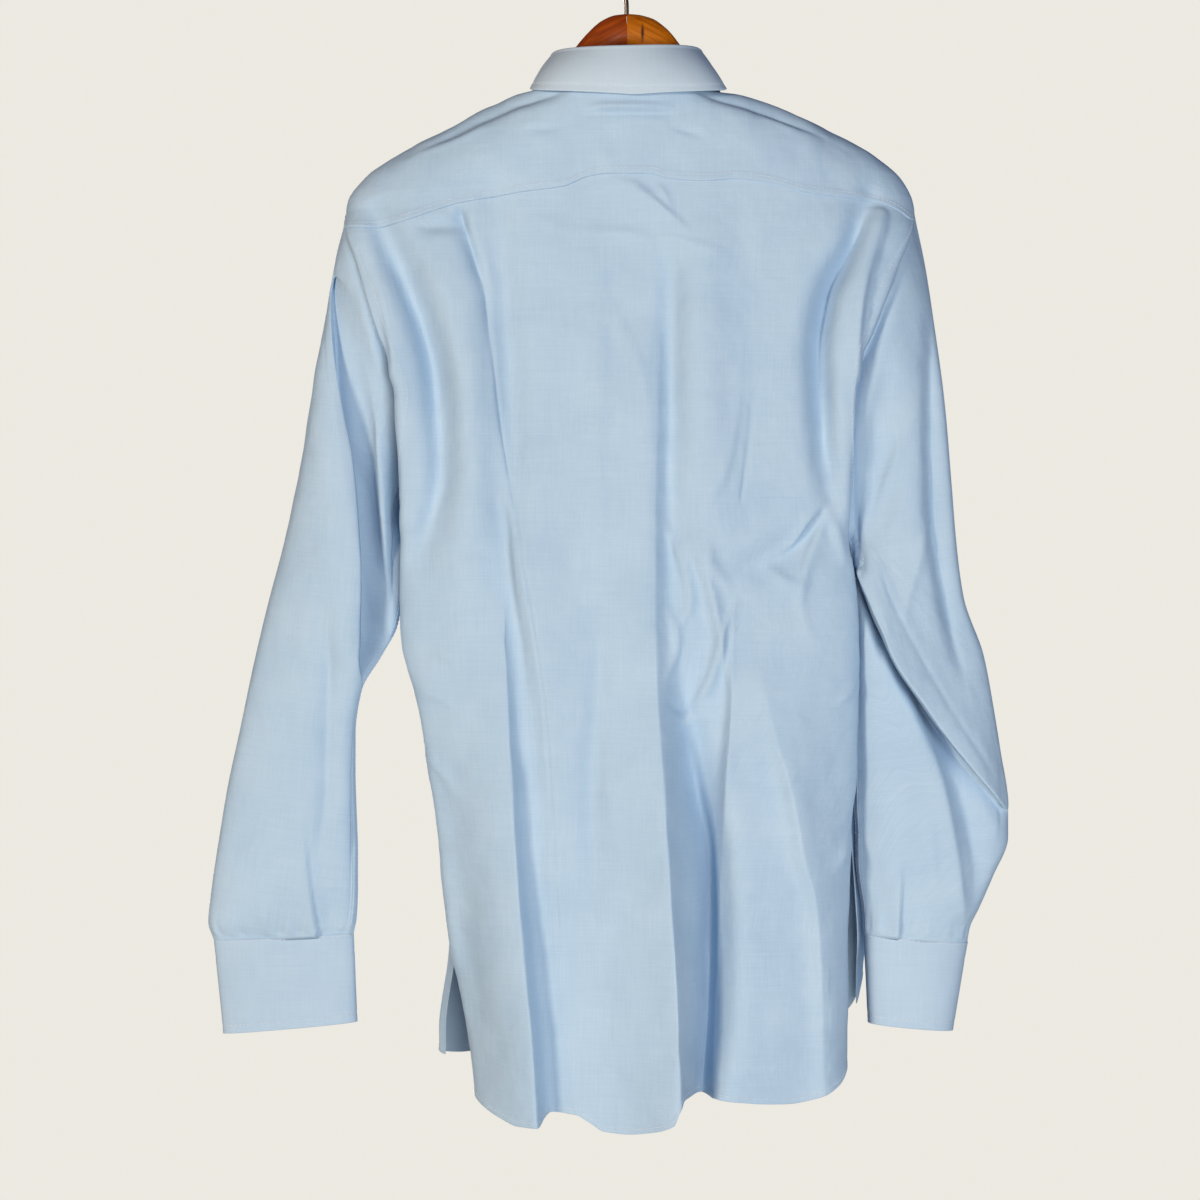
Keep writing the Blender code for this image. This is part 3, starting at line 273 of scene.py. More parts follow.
YOKE_CREASES = (
    ("shoulder roll left", 3, 3, 1.8, ((58, -121, 0), (84, -124, 2.2), (112, -133, 2.4), (150, -152, 0))),
    ("shoulder groove left", 3, 5, 1.8,
     ((45, -123, 0), (62, -126, -3), (84, -130, -4.4), (104, -137, -4.2), (142, -155, -3), (176, -174, 0))),
    ("shoulder roll right", 3, 3, 1.8,
     ((-64, -121, 0), (-90, -124, 2.2), (-120, -133, 2.4), (-158, -150, 0))),
    ("shoulder groove right", 5, 3, 1.8,
     ((-54, -122, 0), (-74, -127, -3.4), (-96, -132, -4.4), (-116, -139, -4), (-150, -155, -2.6),
      (-184, -172, 0))),
    ("shoulder pull left", 4, 4, 1.8, ((108, -146, 0), (130, -158, 1.6), (166, -170, 1.4), (186, -182, 0))),
    ("shoulder pull right", 4, 4, 1.8,
     ((-104, -141, 0), (-128, -150, 1.8), (-160, -160, 1.4), (-184, -176, 0))),
    ("neck pull", 3.4, 3.4, 1.8, ((34, -138, 0), (14, -137, 3), (-10, -137, 3), (-39, -138, 0))),
    ("neck pull under", 3, 4, 2, ((38, -144, 0), (14, -143, -1.4), (-18, -143, -1.4), (-42, -145, 0))),
    ("crease right", 3, 4, 2, ((-33, -153, 0), (-46, -156, -1.6), (-65, -162, 0))),
    ("crease left", 4, 3, 2, ((84, -154, 0), (67, -154, -1.4), (50, -153, 0))),
    ("slope", 9, 9, 2, ((20, -153, 0), (12, -164, -2), (4, -176, 0))),
)
FRONT_FOLDS = (
    ("left front fold", 38, 16, 1.8,
     ((118, -330, 0), (104, -440, 8), (92, -560, 13), (86, -700, 18), (88, -900, 20))),
    ("left front trough", 14, 12, 2, ((92, -520, 0), (66, -650, -8), (60, -780, -11), (62, -900, -10))),
    ("right front fold", 15, 40, 1.8,
     ((-112, -360, 0), (-104, -480, 9), (-94, -620, 15), (-92, -760, 18), (-96, -900, 20))),
    ("right front trough", 12, 15, 2, ((-84, -540, 0), (-64, -670, -9), (-58, -780, -11), (-60, -900, -10))),
    ("left chest hollow", 18, 18, 2,
     ((192, -240, 0), (166, -300, -9), (150, -370, -11), (150, -440, -7), (156, -510, 0))),
    ("right chest hollow", 18, 18, 2,
     ((-194, -240, 0), (-170, -300, -10), (-152, -370, -11), (-148, -450, -7), (-154, -520, 0))),
)
FRONT_CREASES = (
    ("left chest pull", 5, 4, 1.6, ((150, -262, 0), (118, -290, 1.8), (84, -300, 0))),
    ("left armhole pull", 4, 5, 1.6, ((168, -452, 0), (146, -478, 2.6), (112, -492, 0))),
    ("left waist pull", 4, 4, 1.7, ((160, -500, 0), (140, -530, 2), (120, -580, 1.4), (112, -640, 0))),
    ("left skirt crease", 6, 9, 1.7, ((46, -600, 0), (40, -700, 2.4), (34, -840, 2.6), (32, -890, 1))),
    ("left upper crease", 7, 5, 1.8, ((120, -330, 0), (112, -400, 1.8), (116, -470, 0))),
    ("right chest pull", 4, 5, 1.6, ((-146, -270, 0), (-112, -296, 1.7), (-80, -298, 0))),
    ("right armhole pull", 5, 4, 1.6, ((-168, -455, 0), (-150, -484, 2.8), (-118, -510, 0))),
    ("right waist pull", 4, 5, 1.7, ((-164, -506, 0), (-150, -548, 2.2), (-152, -610, 0))),
    ("right skirt crease", 9, 5, 1.6, ((-38, -620, 0), (-34, -740, 2.6), (-38, -850, 2.4), (-40, -890, 1))),
    ("right side crease", 6, 8, 1.7, ((-140, -600, 0), (-146, -700, 2.6), (-150, -830, 2))),
)

# A sleeve is a flattened tube: sections from its outer edge to its inner edge, down to the cuff seam.
SLEEVE_SECTIONS = {
    LEFT: {
        "outer_x": (228, 235, 243, 255, 267, 277, 291, 303, 313, 323, 330, 336, 339, 335),
        "outer_z": (-212, -249, -306, -385, -441, -482, -534, -585, -633, -679, -721, -761, -789, -803),
        "inner_x": (170, 179, 182, 183, 187, 200, 216, 221, 221, 220, 219, 219, 220, 222),
        "inner_z": (-481, -488, -505, -525, -549, -574, -602, -637, -669, -702, -731, -762, -786, -797.5),
        "middle_y": (-6, -6, -5, -3, -1, 0, 0, 0, 0, 0, 0, 0, 0, 0),
        "half_thick": (30, 27, 25, 23, 22, 21, 20, 19, 18, 18, 17, 17, 15, 11),
    },
    RIGHT: {
        "outer_x": (234, 243, 249, 258, 263, 267, 273, 289, 297, 303, 309, 309, 297, 286, 278, 276),
        "outer_z": (-212, -257, -300, -369, -430, -483, -527, -573, -615, -652, -692, -721, -752, -777, -794,
                    -804.5),
        "inner_x": (174, 183, 185, 186, 186, 186, 186, 186, 186, 186, 187, 187, 189, 192, 193, 193),
        "inner_z": (-481, -489, -504, -530, -556, -584, -612, -641, -668, -694, -718, -739, -759, -777, -789,
                    -797.5),
        "middle_y": (-6, -6, -6, -4, -2, 0, 0, 0, 0, 0, 0, 0, 0, 0, 0, 0),
        "half_thick": (30, 27, 25, 24, 23, 23, 23, 22, 21, 21, 21, 21, 21, 20, 18, 17),
    },
}
SLEEVE_FOLDS = {
    LEFT: (
        ("front crease", 48, 8, 1.8,
         ((236, -260, 4), (235, -289, 10), (230, -369, 17), (226, -411, 18), (223, -473, 18), (219, -571, 16),
          (217, -640, 12), (215, -700, 6), (215, -760, 0))),
        ("recess", 14, 18, 2,
         ((218, -300, 0), (212, -369, -9), (208, -430, -13), (206, -500, -12), (210, -560, -5))),
        ("long hollow", 12, 12, 2,
         ((236, -500, 0), (238, -560, -4), (240, -620, -5), (243, -700, -4), (248, -760, 0))),
        ("pleat", 9, 12, 1.6, ((250, -690, 0), (245, -740, -1), (240, -785, -1.6))),
    ),
    RIGHT: (
        ("fold over the elbow", 9, 52, 1.7,
         ((-194, -505, 10), (-202, -540, 14), (-214, -575, 16), (-226, -600, 16), (-250, -632, 15),
          (-276, -664, 12), (-296, -690, 5))),
        ("long fold", 8, 16, 1.8,
         ((-245, -286, 0), (-246, -380, -7), (-248, -474, -8), (-258, -530, -7), (-272, -600, 0))),
        ("armhole recess", 12, 14, 2,
         ((-206, -330, 0), (-200, -409, -9), (-200, -455, -9), (-194, -490, -3))),
        ("forearm ridge", 18, 22, 2, ((-205, -640, 0), (-213, -690, 5), (-218, -740, 5), (-222, -780, 0))),
        ("pleat", 12, 9, 1.6, ((-226, -700, 0), (-228, -750, -1), (-230, -788, -1.6))),
    ),
}
# The folds of the sleeves whose cloth hangs over itself, and how they run: strength and depth at each point.
ELBOW_FOLD = {
    "x": (-189, -196, -205, -213, -219, -236, -254, -282, -303),
    "z": (-503, -521, -548, -573, -586, -611, -637, -673, -697),
    "height": (9, 12, 14, 16, 16, 16, 15, 12, 6),
    "width": 52, "far": 9, "power": 1.7,
}
# Under its edge the cloth sinks into the sleeve in two pockets, one at the arm's pit and one at the elbow.
ELBOW_POCKETS = {
    "x": (-303, -282, -262, -240, -224, -214, -203, -189),
    "depth": (0, 4, 14, 24, 15, 14, 30, 34),
    "reach_x": (-303, -250, -222, -214, -200, -189),
    "reach": (12, 20, 12, 12, 24, 26),
}
FOREARM_FOLD = {
    "x": (237, 236, 235, 230, 226, 223, 219, 218, 218, 218, 219),
    "z": (-200, -260, -289, -369, -411, -473, -571, -606, -700, -760, -810),
    "height": (0, 3.5, 6, 12, 16, 18, 16, 13, 5, 0, 0),
    "width": 48, "far": 8, "power": 1.8,
    "hang_z": (-640, -460, -360, -240), "hang": (9, 9, 3.5, 1.2),
}
FOREARM_POCKET = {
    "z": (-640, -600, -560, -480, -400, -330, -260),
    "depth": (0, 8, 13, 13, 8, 1, 0),
    "reach": 20,
}
# A fold that hangs over its own cloth, from its upper side to the cloth beyond it. Each row is a place past
# the edge, in mm and as a share of the fold's depth, then a height, as a share of the fold's and in mm.
OVERHANG = (
    (-6.0, 0.0, 1.0, 0.0), (-2.5, 0.0, 1.0, 0.2), (-0.8, 0.0, 1.0, 0.0), (0.0, 0.0, 1.0, -0.8),
    (-0.6, 0.0, 1.0, -1.8), (0.0, -0.4, 0.8, -2.2), (0.0, -0.8, 0.45, -2.5), (0.0, -1.0, 0.15, -3.0),
    (1.5, -0.9, 0.0, -4.0), (2.0, -0.4, 0.0, -4.2), (3.0, 0.0, 0.0, -3.6), (8.0, 0.0, 0.0, -2.2),
    (16.0, 0.0, 0.0, -0.9), (28.0, 0.0, 0.0, 0.0),
)
OVERHANG_STEPS = 27
OVERHANG_EDGE_STEP = 6
SLEEVE_CREASES = {
    LEFT: (
        ("recess ridge", 6, 2.6, 1.5,
         ((207, -340, 0), (198, -385, 6), (195, -430, 8), (194, -480, 6), (194, -515, 0))),
        ("gap beside the body", 5, 8, 2.2,
         ((221, -238, 0), (213, -262, -6), (206, -285, -8), (198, -318, -9), (190, -352, -15),
          (187, -385, -20), (186, -430, -22), (186, -470, -20), (187, -505, -9), (186, -535, 0))),
        ("recess crease", 4, 4, 1.7, ((211, -485, 0), (207, -520, 2), (204, -551, 0))),
        ("shin", 5, 5, 1.8, ((234, -530, 0), (240, -615, -1.6), (242, -686, -1.6), (247, -733, 0))),
        ("pleat edge", 11, 1.3, 1.5, ((262, -700, 0), (257, -753, 2.6), (251, -797, 4))),
    ),
    RIGHT: (
        ("outer line", 6, 2.6, 1.5,
         ((-246, -286, 0), (-246, -381, -3), (-249, -474, -3.6), (-258, -530, -3), (-273, -600, 0))),
        ("armhole ridge", 5, 4, 1.7, ((-235, -371, 0), (-216, -418, 2.6), (-193, -484, 0))),
        ("armhole ridge low", 4, 4, 1.7, ((-246, -455, 0), (-230, -512, 2), (-219, -554, 0))),
        ("gap edge", 4, 7, 1.8,
         ((-216, -256, 0), (-207, -285, -8), (-197, -310, -13), (-189, -335, -15), (-185, -360, -14),
          (-184, -400, -8), (-184, -460, -5), (-186, -500, -6))),
        ("pleat edge", 9, 1.3, 1.5, ((-220, -735, 0), (-219.5, -765, 3), (-218.5, -797, 4.2))),
        ("forearm line", 22, 4, 1.4,
         ((-218, -590, 0), (-244, -645, 4), (-258, -697, 6), (-268, -757, 4), (-272, -790, 0))),
        ("forearm hollow", 8, 12, 2,
         ((-238, -615, 0), (-262, -668, -5), (-276, -712, -7), (-283, -750, -4), (-282, -780, 0))),
        ("felled seam", 2.2, 2.2, 1.6,
         ((-204, -505, 0), (-207, -517, -1), (-227, -560, -1), (-264, -623, -1), (-287, -657, -1),
          (-296, -672, 0))),
        ("forearm crease", 4, 5, 1.7, ((-241, -690, 0), (-244, -730, 1.6), (-252, -770, 0))),
    ),
}
SLEEVE_FRONT_FOLDS = {
    LEFT: (
        ("front hollow", 18, 16, 2,
         ((222, -300, 0), (228, -400, -7), (240, -520, -7), (256, -640, -5), (270, -740, 0))),
        ("front elbow pull", 12, 14, 2, ((292, -560, 0), (262, -580, 5), (232, -600, 0))),
        ("front elbow crease", 4, 5, 1.7, ((300, -600, 0), (270, -612, 2.6), (238, -640, 0))),
        ("front forearm crease", 5, 5, 1.7, ((282, -660, 0), (286, -720, 2), (292, -780, 0))),
    ),
    RIGHT: (
        ("front hollow", 16, 18, 2, ((-222, -300, 0), (-226, -400, -8), (-232, -520, -7), (-240, -620, 0))),
        ("front elbow pull", 14, 12, 2, ((-288, -640, 0), (-255, -655, 6), (-215, -690, 0))),
        ("front elbow crease", 5, 4, 1.7, ((-292, -680, 0), (-262, -690, 2.6), (-228, -722, 0))),
        ("front upper crease", 5, 5, 1.7, ((-214, -330, 0), (-212, -400, 2), (-220, -470, 0))),
    ),
}
CUFFS = {
    LEFT: {"outer": ((334, -804), (327, -880)), "inner": ((222, -798.5), (219, -870.5)), "half_thick": 11.0},
    RIGHT: {"outer": ((276, -805.5), (264, -877)), "inner": ((193, -798.5), (196, -871)), "half_thick": 17.0},
}
# The collar leaf's lower edge: where along the collar, then how far across the torso and on which ring.
LEAF_EDGE = {
    "place": (0, 0.25, 0.5, 0.6, 0.7, 0.84, 0.97),
    "across": (0, 0.5, 1.0, 0.76, 0.56, 0.28, 0.224),
    "ring": (-131, -124, -114, -119, -125, -140, -148),
}
HANGER_ARM = {
    "x": (0, 10, 20, 31, 42, 52, 62, 75, 100, 140, 178, 197, 206),
    "top_z": (-53.3, -55, -60, -69.5, -82, -95, -109, -123, -134, -152, -174, -190, -200),
    "y": (0, 0, 0, 0, 0, -1, -3, -6, -8, -9, -11, -13, -14),
    "half_high": (13, 13, 13, 13, 13, 12.5, 12, 12, 12, 12, 11.5, 10, 6.5),
    "half_wide": (7, 7, 7, 7, 7, 7.5, 8, 9, 10, 11.5, 12.5, 12, 7.5),
}
HOOK_WIRE = 1.8
HOOK_BEND = 17.8
WOOD_TOP_Z = -53.3
ARM_RISE = {
    "x": (0, 12, 25, 36, 48, 60, 72, 206),
    LEFT: (0, 0.6, 1.4, 1.2, 0.6, 0, 0, 0),
    RIGHT: (0, 1.2, 4.5, 6, 4.5, 2.2, 1.4, 7.4),
}


# Materials


def linear(colour):
    """A hex sRGB colour as the linear RGBA that a shader takes."""
    parts = [int(colour[i : i + 2], 16) / 255 for i in (1, 3, 5)]
    return (*((c / 12.92 if c <= 0.04045 else ((c + 0.055) / 1.055) ** 2.4) for c in parts), 1.0)


def add_node(material, kind, settings=None, links=None):
    """Adds a node. Settings are its properties or its inputs' values, links feed its inputs from outputs."""
    tree = material.node_tree
    node = tree.nodes.new(kind)
    for key, value in (settings or {}).items():
        if isinstance(key, str) and hasattr(node, key) and key not in node.inputs:
            setattr(node, key, value)
        else:
            node.inputs[key].default_value = value
    for key, output in (links or {}).items():
        tree.links.new(output, node.inputs[key])
    return node


def stretched(material, place, scale):
    return add_node(material, "ShaderNodeMapping", {"Scale": scale}, {"Vector": place}).outputs["Vector"]


def noise(material, place, scale, detail=2.0, roughness=0.5, distortion=0.0):
    settings = {"Scale": scale, "Detail": detail, "Roughness": roughness, "Distortion": distortion}
    return add_node(material, "ShaderNodeTexNoise", settings, {"Vector": place}).outputs["Fac"]


def mixed_in(material, factor, share, base=None):
    """A factor's share, laid over a base."""
    links = {0: factor} if base is None else {0: factor, 2: base}
    settings = {"operation": "MULTIPLY_ADD", 1: share, 2: 0.0}
    return add_node(material, "ShaderNodeMath", settings, links).outputs[0]


def shades(material, factor, colours, places=(0.0, 1.0)):
    """The colours between a dark and a light one, as the factor goes from one place to the other."""
    ramp = add_node(material, "ShaderNodeValToRGB", {}, {"Fac": factor})
    for index in (0, 1):
        ramp.color_ramp.elements[index].position = places[index]
        ramp.color_ramp.elements[index].color = linear(colours[index])
    return ramp.outputs["Color"]


def bumped(material, height, strength, distance, normal=None):
    links = {"Height": height} if normal is None else {"Height": height, "Normal": normal}
    settings = {"Strength": strength, "Distance": distance}
    return add_node(material, "ShaderNodeBump", settings, links).outputs["Normal"]


def new_material(name, settings):
    material = bpy.data.materials.new(name)
    material.use_nodes = True
    shader = material.node_tree.nodes["Principled BSDF"]
    for key, value in settings.items():
        shader.inputs[key].default_value = value
    return material, shader


def dress(material, shader, colour, normal=None):
    """Feeds a material's shader with its colour and its bumps."""
    material.node_tree.links.new(colour, shader.inputs["Base Color"])
    if normal is not None:
        material.node_tree.links.new(normal, shader.inputs["Normal"])
    return material


def cotton_poplin(name, tone, crumple):
    """Fine cotton poplin, woven and pressed: nearly matt, soft where it turns, with faint yarn streaks."""
    material, shader = new_material(name, {
        "Roughness": 0.72, "IOR": 1.5, "Specular IOR Level": 0.2, "Sheen Weight": 0.04,
        "Sheen Roughness": 0.4})
    flat = add_node(material, "ShaderNodeUVMap", {"uv_map": "flat"}).outputs["UV"]
    # The real yarns lie 0.25 mm apart, too fine to show, so the slubs are drawn 1.2 mm apart and 40 mm long.
    warp, weft = (noise(material, stretched(material, flat, scale), 1.0, roughness=0.6)
                  for scale in ((1 / 0.0012, 1 / 0.040, 1.0), (1 / 0.050, 1 / 0.0012, 1.0)))
    weave = add_node(material, "ShaderNodeMath", {"operation": "ADD"}, {0: warp, 1: weft}).outputs[0]
    cloudy = noise(material, flat, 16.0, 3.0, 0.55)
    shade = mixed_in(material, cloudy, 0.30, mixed_in(material, weave, 0.20))
    # Soft crumples 30 mm and 9 mm across, then the yarn.
    bump = bumped(material, noise(material, flat, 32.0), 1.0, 0.0014 * crumple)
    bump = bumped(material, noise(material, flat, 110.0), 1.0, 0.0004 * crumple, bump)
    bump = bumped(material, weave, 0.6, 0.00010, bump)
    return dress(material, shader, shades(material, shade, tone, (0.22, 0.48)), bump)


def sewing_thread():
    """Spun polyester thread, twisted: a shade paler than the cloth, with a soft gloss."""
    material, shader = new_material("sewing thread", {
        "Roughness": 0.5, "IOR": 1.53, "Specular IOR Level": 0.5, "Sheen Weight": 0.3})
    place = add_node(material, "ShaderNodeTexCoord").outputs["Object"]
    twist = noise(material, place, 900.0, 1.0)
    return dress(material, shader, shades(material, twist, ("#A9C0D8", "#D3E2EF")))


def varnished_wood(name, dark, light, side, knot=None):
    """Beech sliced from one board and varnished: straight grain along the arm under a clear, glossy coat."""
    material, shader = new_material(name, {
        "Roughness": 0.5, "IOR": 1.45, "Specular IOR Level": 0.2, "Coat Weight": 0.06, "Coat Roughness": 0.2})
    place = add_node(material, "ShaderNodeTexCoord").outputs["Object"]
    # The grain follows the arm, which falls 27 degrees. Growth rings are 3 mm apart, pores 0.6 mm.
    fall = (0.0, -side * math.radians(27), 0.0)
    along = add_node(material, "ShaderNodeMapping", {"Rotation": fall}, {"Vector": place}).outputs["Vector"]
    grain = noise(material, stretched(material, along, (9.0, 330.0, 330.0)), 1.0, 3.0, 0.6, 0.6)
    pores = noise(material, stretched(material, along, (60.0, 1500.0, 1500.0)), 1.0, roughness=0.7)
    colour = shades(material, mixed_in(material, pores, 0.45, grain), (dark, light), (0.45, 0.95))
    if knot:
        # A small dark split, 2 mm across and drawn out upwards.
        off = add_node(material, "ShaderNodeVectorMath", {"operation": "SUBTRACT", 1: knot}, {0: place})
        drawn = add_node(material, "ShaderNodeVectorMath", {"operation": "MULTIPLY", 1: (800.0, 60.0, 160.0)},
                         {0: off.outputs[0]})
        away = add_node(material, "ShaderNodeVectorMath", {"operation": "LENGTH"}, {0: drawn.outputs[0]})
        spot = add_node(material, "ShaderNodeMapRange",
                        {"From Min": 0.4, "From Max": 1.5, "To Min": 1.0, "To Max": 0.0},
                        {"Value": away.outputs["Value"]})
        mix = add_node(material, "ShaderNodeMix", {"data_type": "RGBA"},
                       {0: spot.outputs["Result"], 6: colour})
        mix.inputs[7].default_value = linear("#3B1C08")
        colour = mix.outputs[2]
    return dress(material, shader, colour, bumped(material, pores, 0.5, 0.0002))


def drawn_steel_wire():
    """Steel wire, drawn and dulled by handling: a dark grey metal with fine lines along it."""
    material, shader = new_material("drawn steel wire", {"Metallic": 1.0, "Roughness": 0.34})
    place = add_node(material, "ShaderNodeTexCoord").outputs["Object"]
    wear = noise(material, place, 380.0, 3.0)
    return dress(material, shader, shades(material, wear, ("#55504B", "#8C8780")),
                 bumped(material, wear, 0.4, 0.00008))


def mother_of_pearl():
    """Trochus shell, cut and polished: pale, hard and glossy, with faint cloudy bands."""
    material, shader = new_material("polished shell", {
        "Roughness": 0.22, "IOR": 1.53, "Coat Weight": 0.4, "Coat Roughness": 0.08})
    place = add_node(material, "ShaderNodeTexCoord").outputs["Object"]
    bands = noise(material, place, 260.0, distortion=1.5)
    return dress(material, shader, shades(material, bands, ("#C9D2D6", "#F1F1EA"), (0.35, 0.65)))


# Curves and surfaces


def unit(vectors):
    """Vectors made one long. Those without a length stay as they are."""
    return vectors / np.maximum(np.linalg.norm(vectors, axis=-1), 1e-9)[..., None]


def lengths_along(line):
    return np.concatenate([[0], np.cumsum(np.linalg.norm(np.diff(line, axis=0), axis=1))])


def around_once(turn):
    """How far across a flattened tube a place round it is: 1 at its outer edge, -1 at its inner edge."""
    return np.cos(2 * math.pi * turn)


def smooth_step(value):
    value = np.clip(value, 0.0, 1.0)
    return value * value * (3.0 - 2.0 * value)


def curve(knots, values, at):
    """A smooth curve through (knots, values), read at each place. It doesn't overshoot between its points."""
    knots = np.asarray(knots, float)
    values = np.asarray(values, float)
    if knots[0] > knots[-1]:
        knots = knots[::-1]
        values = values[::-1]
    steps = np.diff(knots)
    slopes = np.diff(values) / steps
    tangents = np.zeros_like(values)
    same_way = slopes[:-1] * slopes[1:] > 0
    mean = 2.0 * slopes[:-1] * slopes[1:] / np.where(same_way, slopes[:-1] + slopes[1:], 1.0)
    tangents[1:-1] = np.where(same_way, mean, 0.0)
    tangents[0] = slopes[0]
    tangents[-1] = slopes[-1]
    at = np.clip(np.asarray(at, float), knots[0], knots[-1])
    cell = np.clip(np.searchsorted(knots, at) - 1, 0, len(steps) - 1)
    t = (at - knots[cell]) / steps[cell]
    rise = values[cell + 1] - values[cell]
    start = tangents[cell] * steps[cell]
    end = tangents[cell + 1] * steps[cell]
    return values[cell] + t * (start + t * (3 * rise - 2 * start - end + t * (start + end - 2 * rise)))


def fold_relief(folds, x, z):
    """How proud the folds of a table stand at the points (x, z)."""
    relief = np.zeros_like(x)
    for _, left_width, right_width, power, points in folds:
        points = np.array(points, float)
        reach = 3.2 * max(left_width, right_width)
        low, high = points[:, :2].min(axis=0) - reach, points[:, :2].max(axis=0) + reach
        near = (x > low[0]) & (x < high[0]) & (z > low[1]) & (z < high[1])
        if not near.any():
            continue
        px, pz = x[near], z[near]
        knots = np.arange(len(points))
        fine = np.linspace(0, len(points) - 1, 4 * len(points) - 3)
        line_x, line_z, height = (curve(knots, points[:, column], fine) for column in range(3))
        nearest = np.full(px.shape, np.inf)
        proud = np.zeros_like(px)
        left = np.zeros(px.shape, bool)
        for a in range(len(fine) - 1):
            run_x = line_x[a + 1] - line_x[a]
            run_z = line_z[a + 1] - line_z[a]
            off_x = px - line_x[a]
            off_z = pz - line_z[a]
            t = np.clip((off_x * run_x + off_z * run_z) / (run_x**2 + run_z**2), 0.0, 1.0)
            away = np.hypot(off_x - t * run_x, off_z - t * run_z)
            closer = away < nearest
            nearest = np.where(closer, away, nearest)
            proud = np.where(closer, height[a] + t * (height[a + 1] - height[a]), proud)
            left = np.where(closer, run_x * off_z - run_z * off_x > 0, left)
        width = np.where(left, left_width, right_width)
        relief[near] += proud * np.exp(-((nearest / width) ** power))
    return relief


def soft_noise(a, b, size, seed):
    """Smooth noise from -1 to 1 whose bumps are about size across."""
    lattice = np.random.default_rng(seed).uniform(-1, 1, (97, 97))
    u, v = np.asarray(a) / size + 500.0, np.asarray(b) / size + 500.0
    column, row = np.floor(u).astype(int), np.floor(v).astype(int)
    s, t = smooth_step(u - column), smooth_step(v - row)
    column, row = column % 96, row % 96
    low = lattice[column, row] * (1 - s) + lattice[column + 1, row] * s
    high = lattice[column, row + 1] * (1 - s) + lattice[column + 1, row + 1] * s
    return low * (1 - t) + high * t


def torso_sides(half, ring):
    outline = OUTLINE if half == BACK else FRONT_OUTLINE
    return curve(outline["z"], outline["left"], ring), -curve(outline["z"], outline["right"], ring)


def torso(half, across, ring, folded=True):
    """Points of the body's middle surface. across is -1 at the wearer's right edge and +1 at the left one,
    and ring is the height of the point's level ring: the front's upper rings dip towards the neck."""
    across = np.asarray(across, float)
    ring = np.asarray(ring, float) + 0.0 * across
    left, right = torso_sides(half, ring)
    side_name = "back" if half == BACK else "front"
    face = curve(FACES["z"], FACES[side_name], ring)
    edge = curve(EDGES["z"], EDGES[side_name], ring)
    squareness = curve(FACES["z"], FACES["squareness"], ring)
    reach = np.sin(across * math.pi / 2)
    crown = np.maximum(1.0 - np.abs(reach) ** squareness, 0.0) ** (1.0 / squareness)
    below = smooth_step((UNDERARM_Z - ring) / 30)
    start = 0.72 + 0.07 * below
    turned = np.clip((np.abs(across) - start) / (1 - start), 0, 1) ** (2 + 0.6 * below)
    tuck = curve(EDGES["z"], EDGES["tuck"], ring) * turned
    x = (left + right) / 2 + (left - right) / 2 * reach - np.sign(across) * tuck
    y = edge + (face - edge) * crown
    z = ring.copy()
    if half == FRONT:
        dip = FRONT_NECK_DROP * np.maximum(np.cos(across * math.pi / 2), 0) ** 1.5
        z -= dip * (1 - smooth_step((NECK_Z - ring) / (NECK_Z - CHEST_Z)))
    if folded:
        folds = BACK_FOLDS if half == BACK else FRONT_FOLDS
        calm = (1 - np.abs(across) ** 10) * smooth_step((NECK_Z - ring) / 50)
        fuller = FULLER_FOLDS if half == BACK else 1.0
        y = y + half * calm * fuller * fold_relief(folds, x, z)
    return np.stack([x, y, z], axis=-1)


def ring_at_line(half, across, line, start):
    """The ring on which each column of the body meets a line given as heights along x."""
    ring = np.full(np.shape(across), float(start))
    for _ in range(30):
        point = torso(half, across, ring, folded=False)
        ring = ring + 0.7 * (curve(line["x"], line["z"], point[..., 0]) - point[..., 2])
    return ring


def across_at(half, x, ring):
    left, right = torso_sides(half, ring)
    reach = np.clip((x - (left + right) / 2) / ((left - right) / 2), -1, 1)
    return np.arcsin(reach) * 2 / math.pi


def armhole(side, turn):
    """The armhole seam. turn is 0 at the shoulder, 0.25 behind, 0.5 under the arm and 0.75 in front."""
    ring = SHOULDER_Z + (UNDERARM_Z - SHOULDER_Z) * (1 - np.cos(2 * math.pi * turn)) / 2
    behind = torso(BACK, side + 0 * turn, ring)
    before = torso(FRONT, side + 0 * turn, ring)
    return np.where((turn % 1.0 <= 0.5)[..., None], behind, before)


def sleeve_section(side, turn, along):
    rows = SLEEVE_SECTIONS[side]
    knots = np.linspace(0, 1, len(rows["outer_x"]))
    outer_x, outer_z, inner_x, inner_z, middle_y, half_thick = (curve(knots, rows[key], along) for key in (
        "outer_x", "outer_z", "inner_x", "inner_z", "middle_y", "half_thick"))
    reach = around_once(turn)
    crown = np.maximum(1 - np.abs(reach) ** SLEEVE_SQUARENESS, 0) ** (1 / SLEEVE_SQUARENESS)
    x = side * ((outer_x + inner_x) / 2 + (outer_x - inner_x) / 2 * reach)
    y = middle_y + half_thick * crown * np.sign(np.sin(2 * math.pi * turn))
    z = (outer_z + inner_z) / 2 + (outer_z - inner_z) / 2 * reach
    return np.stack([x, y, z], axis=-1)


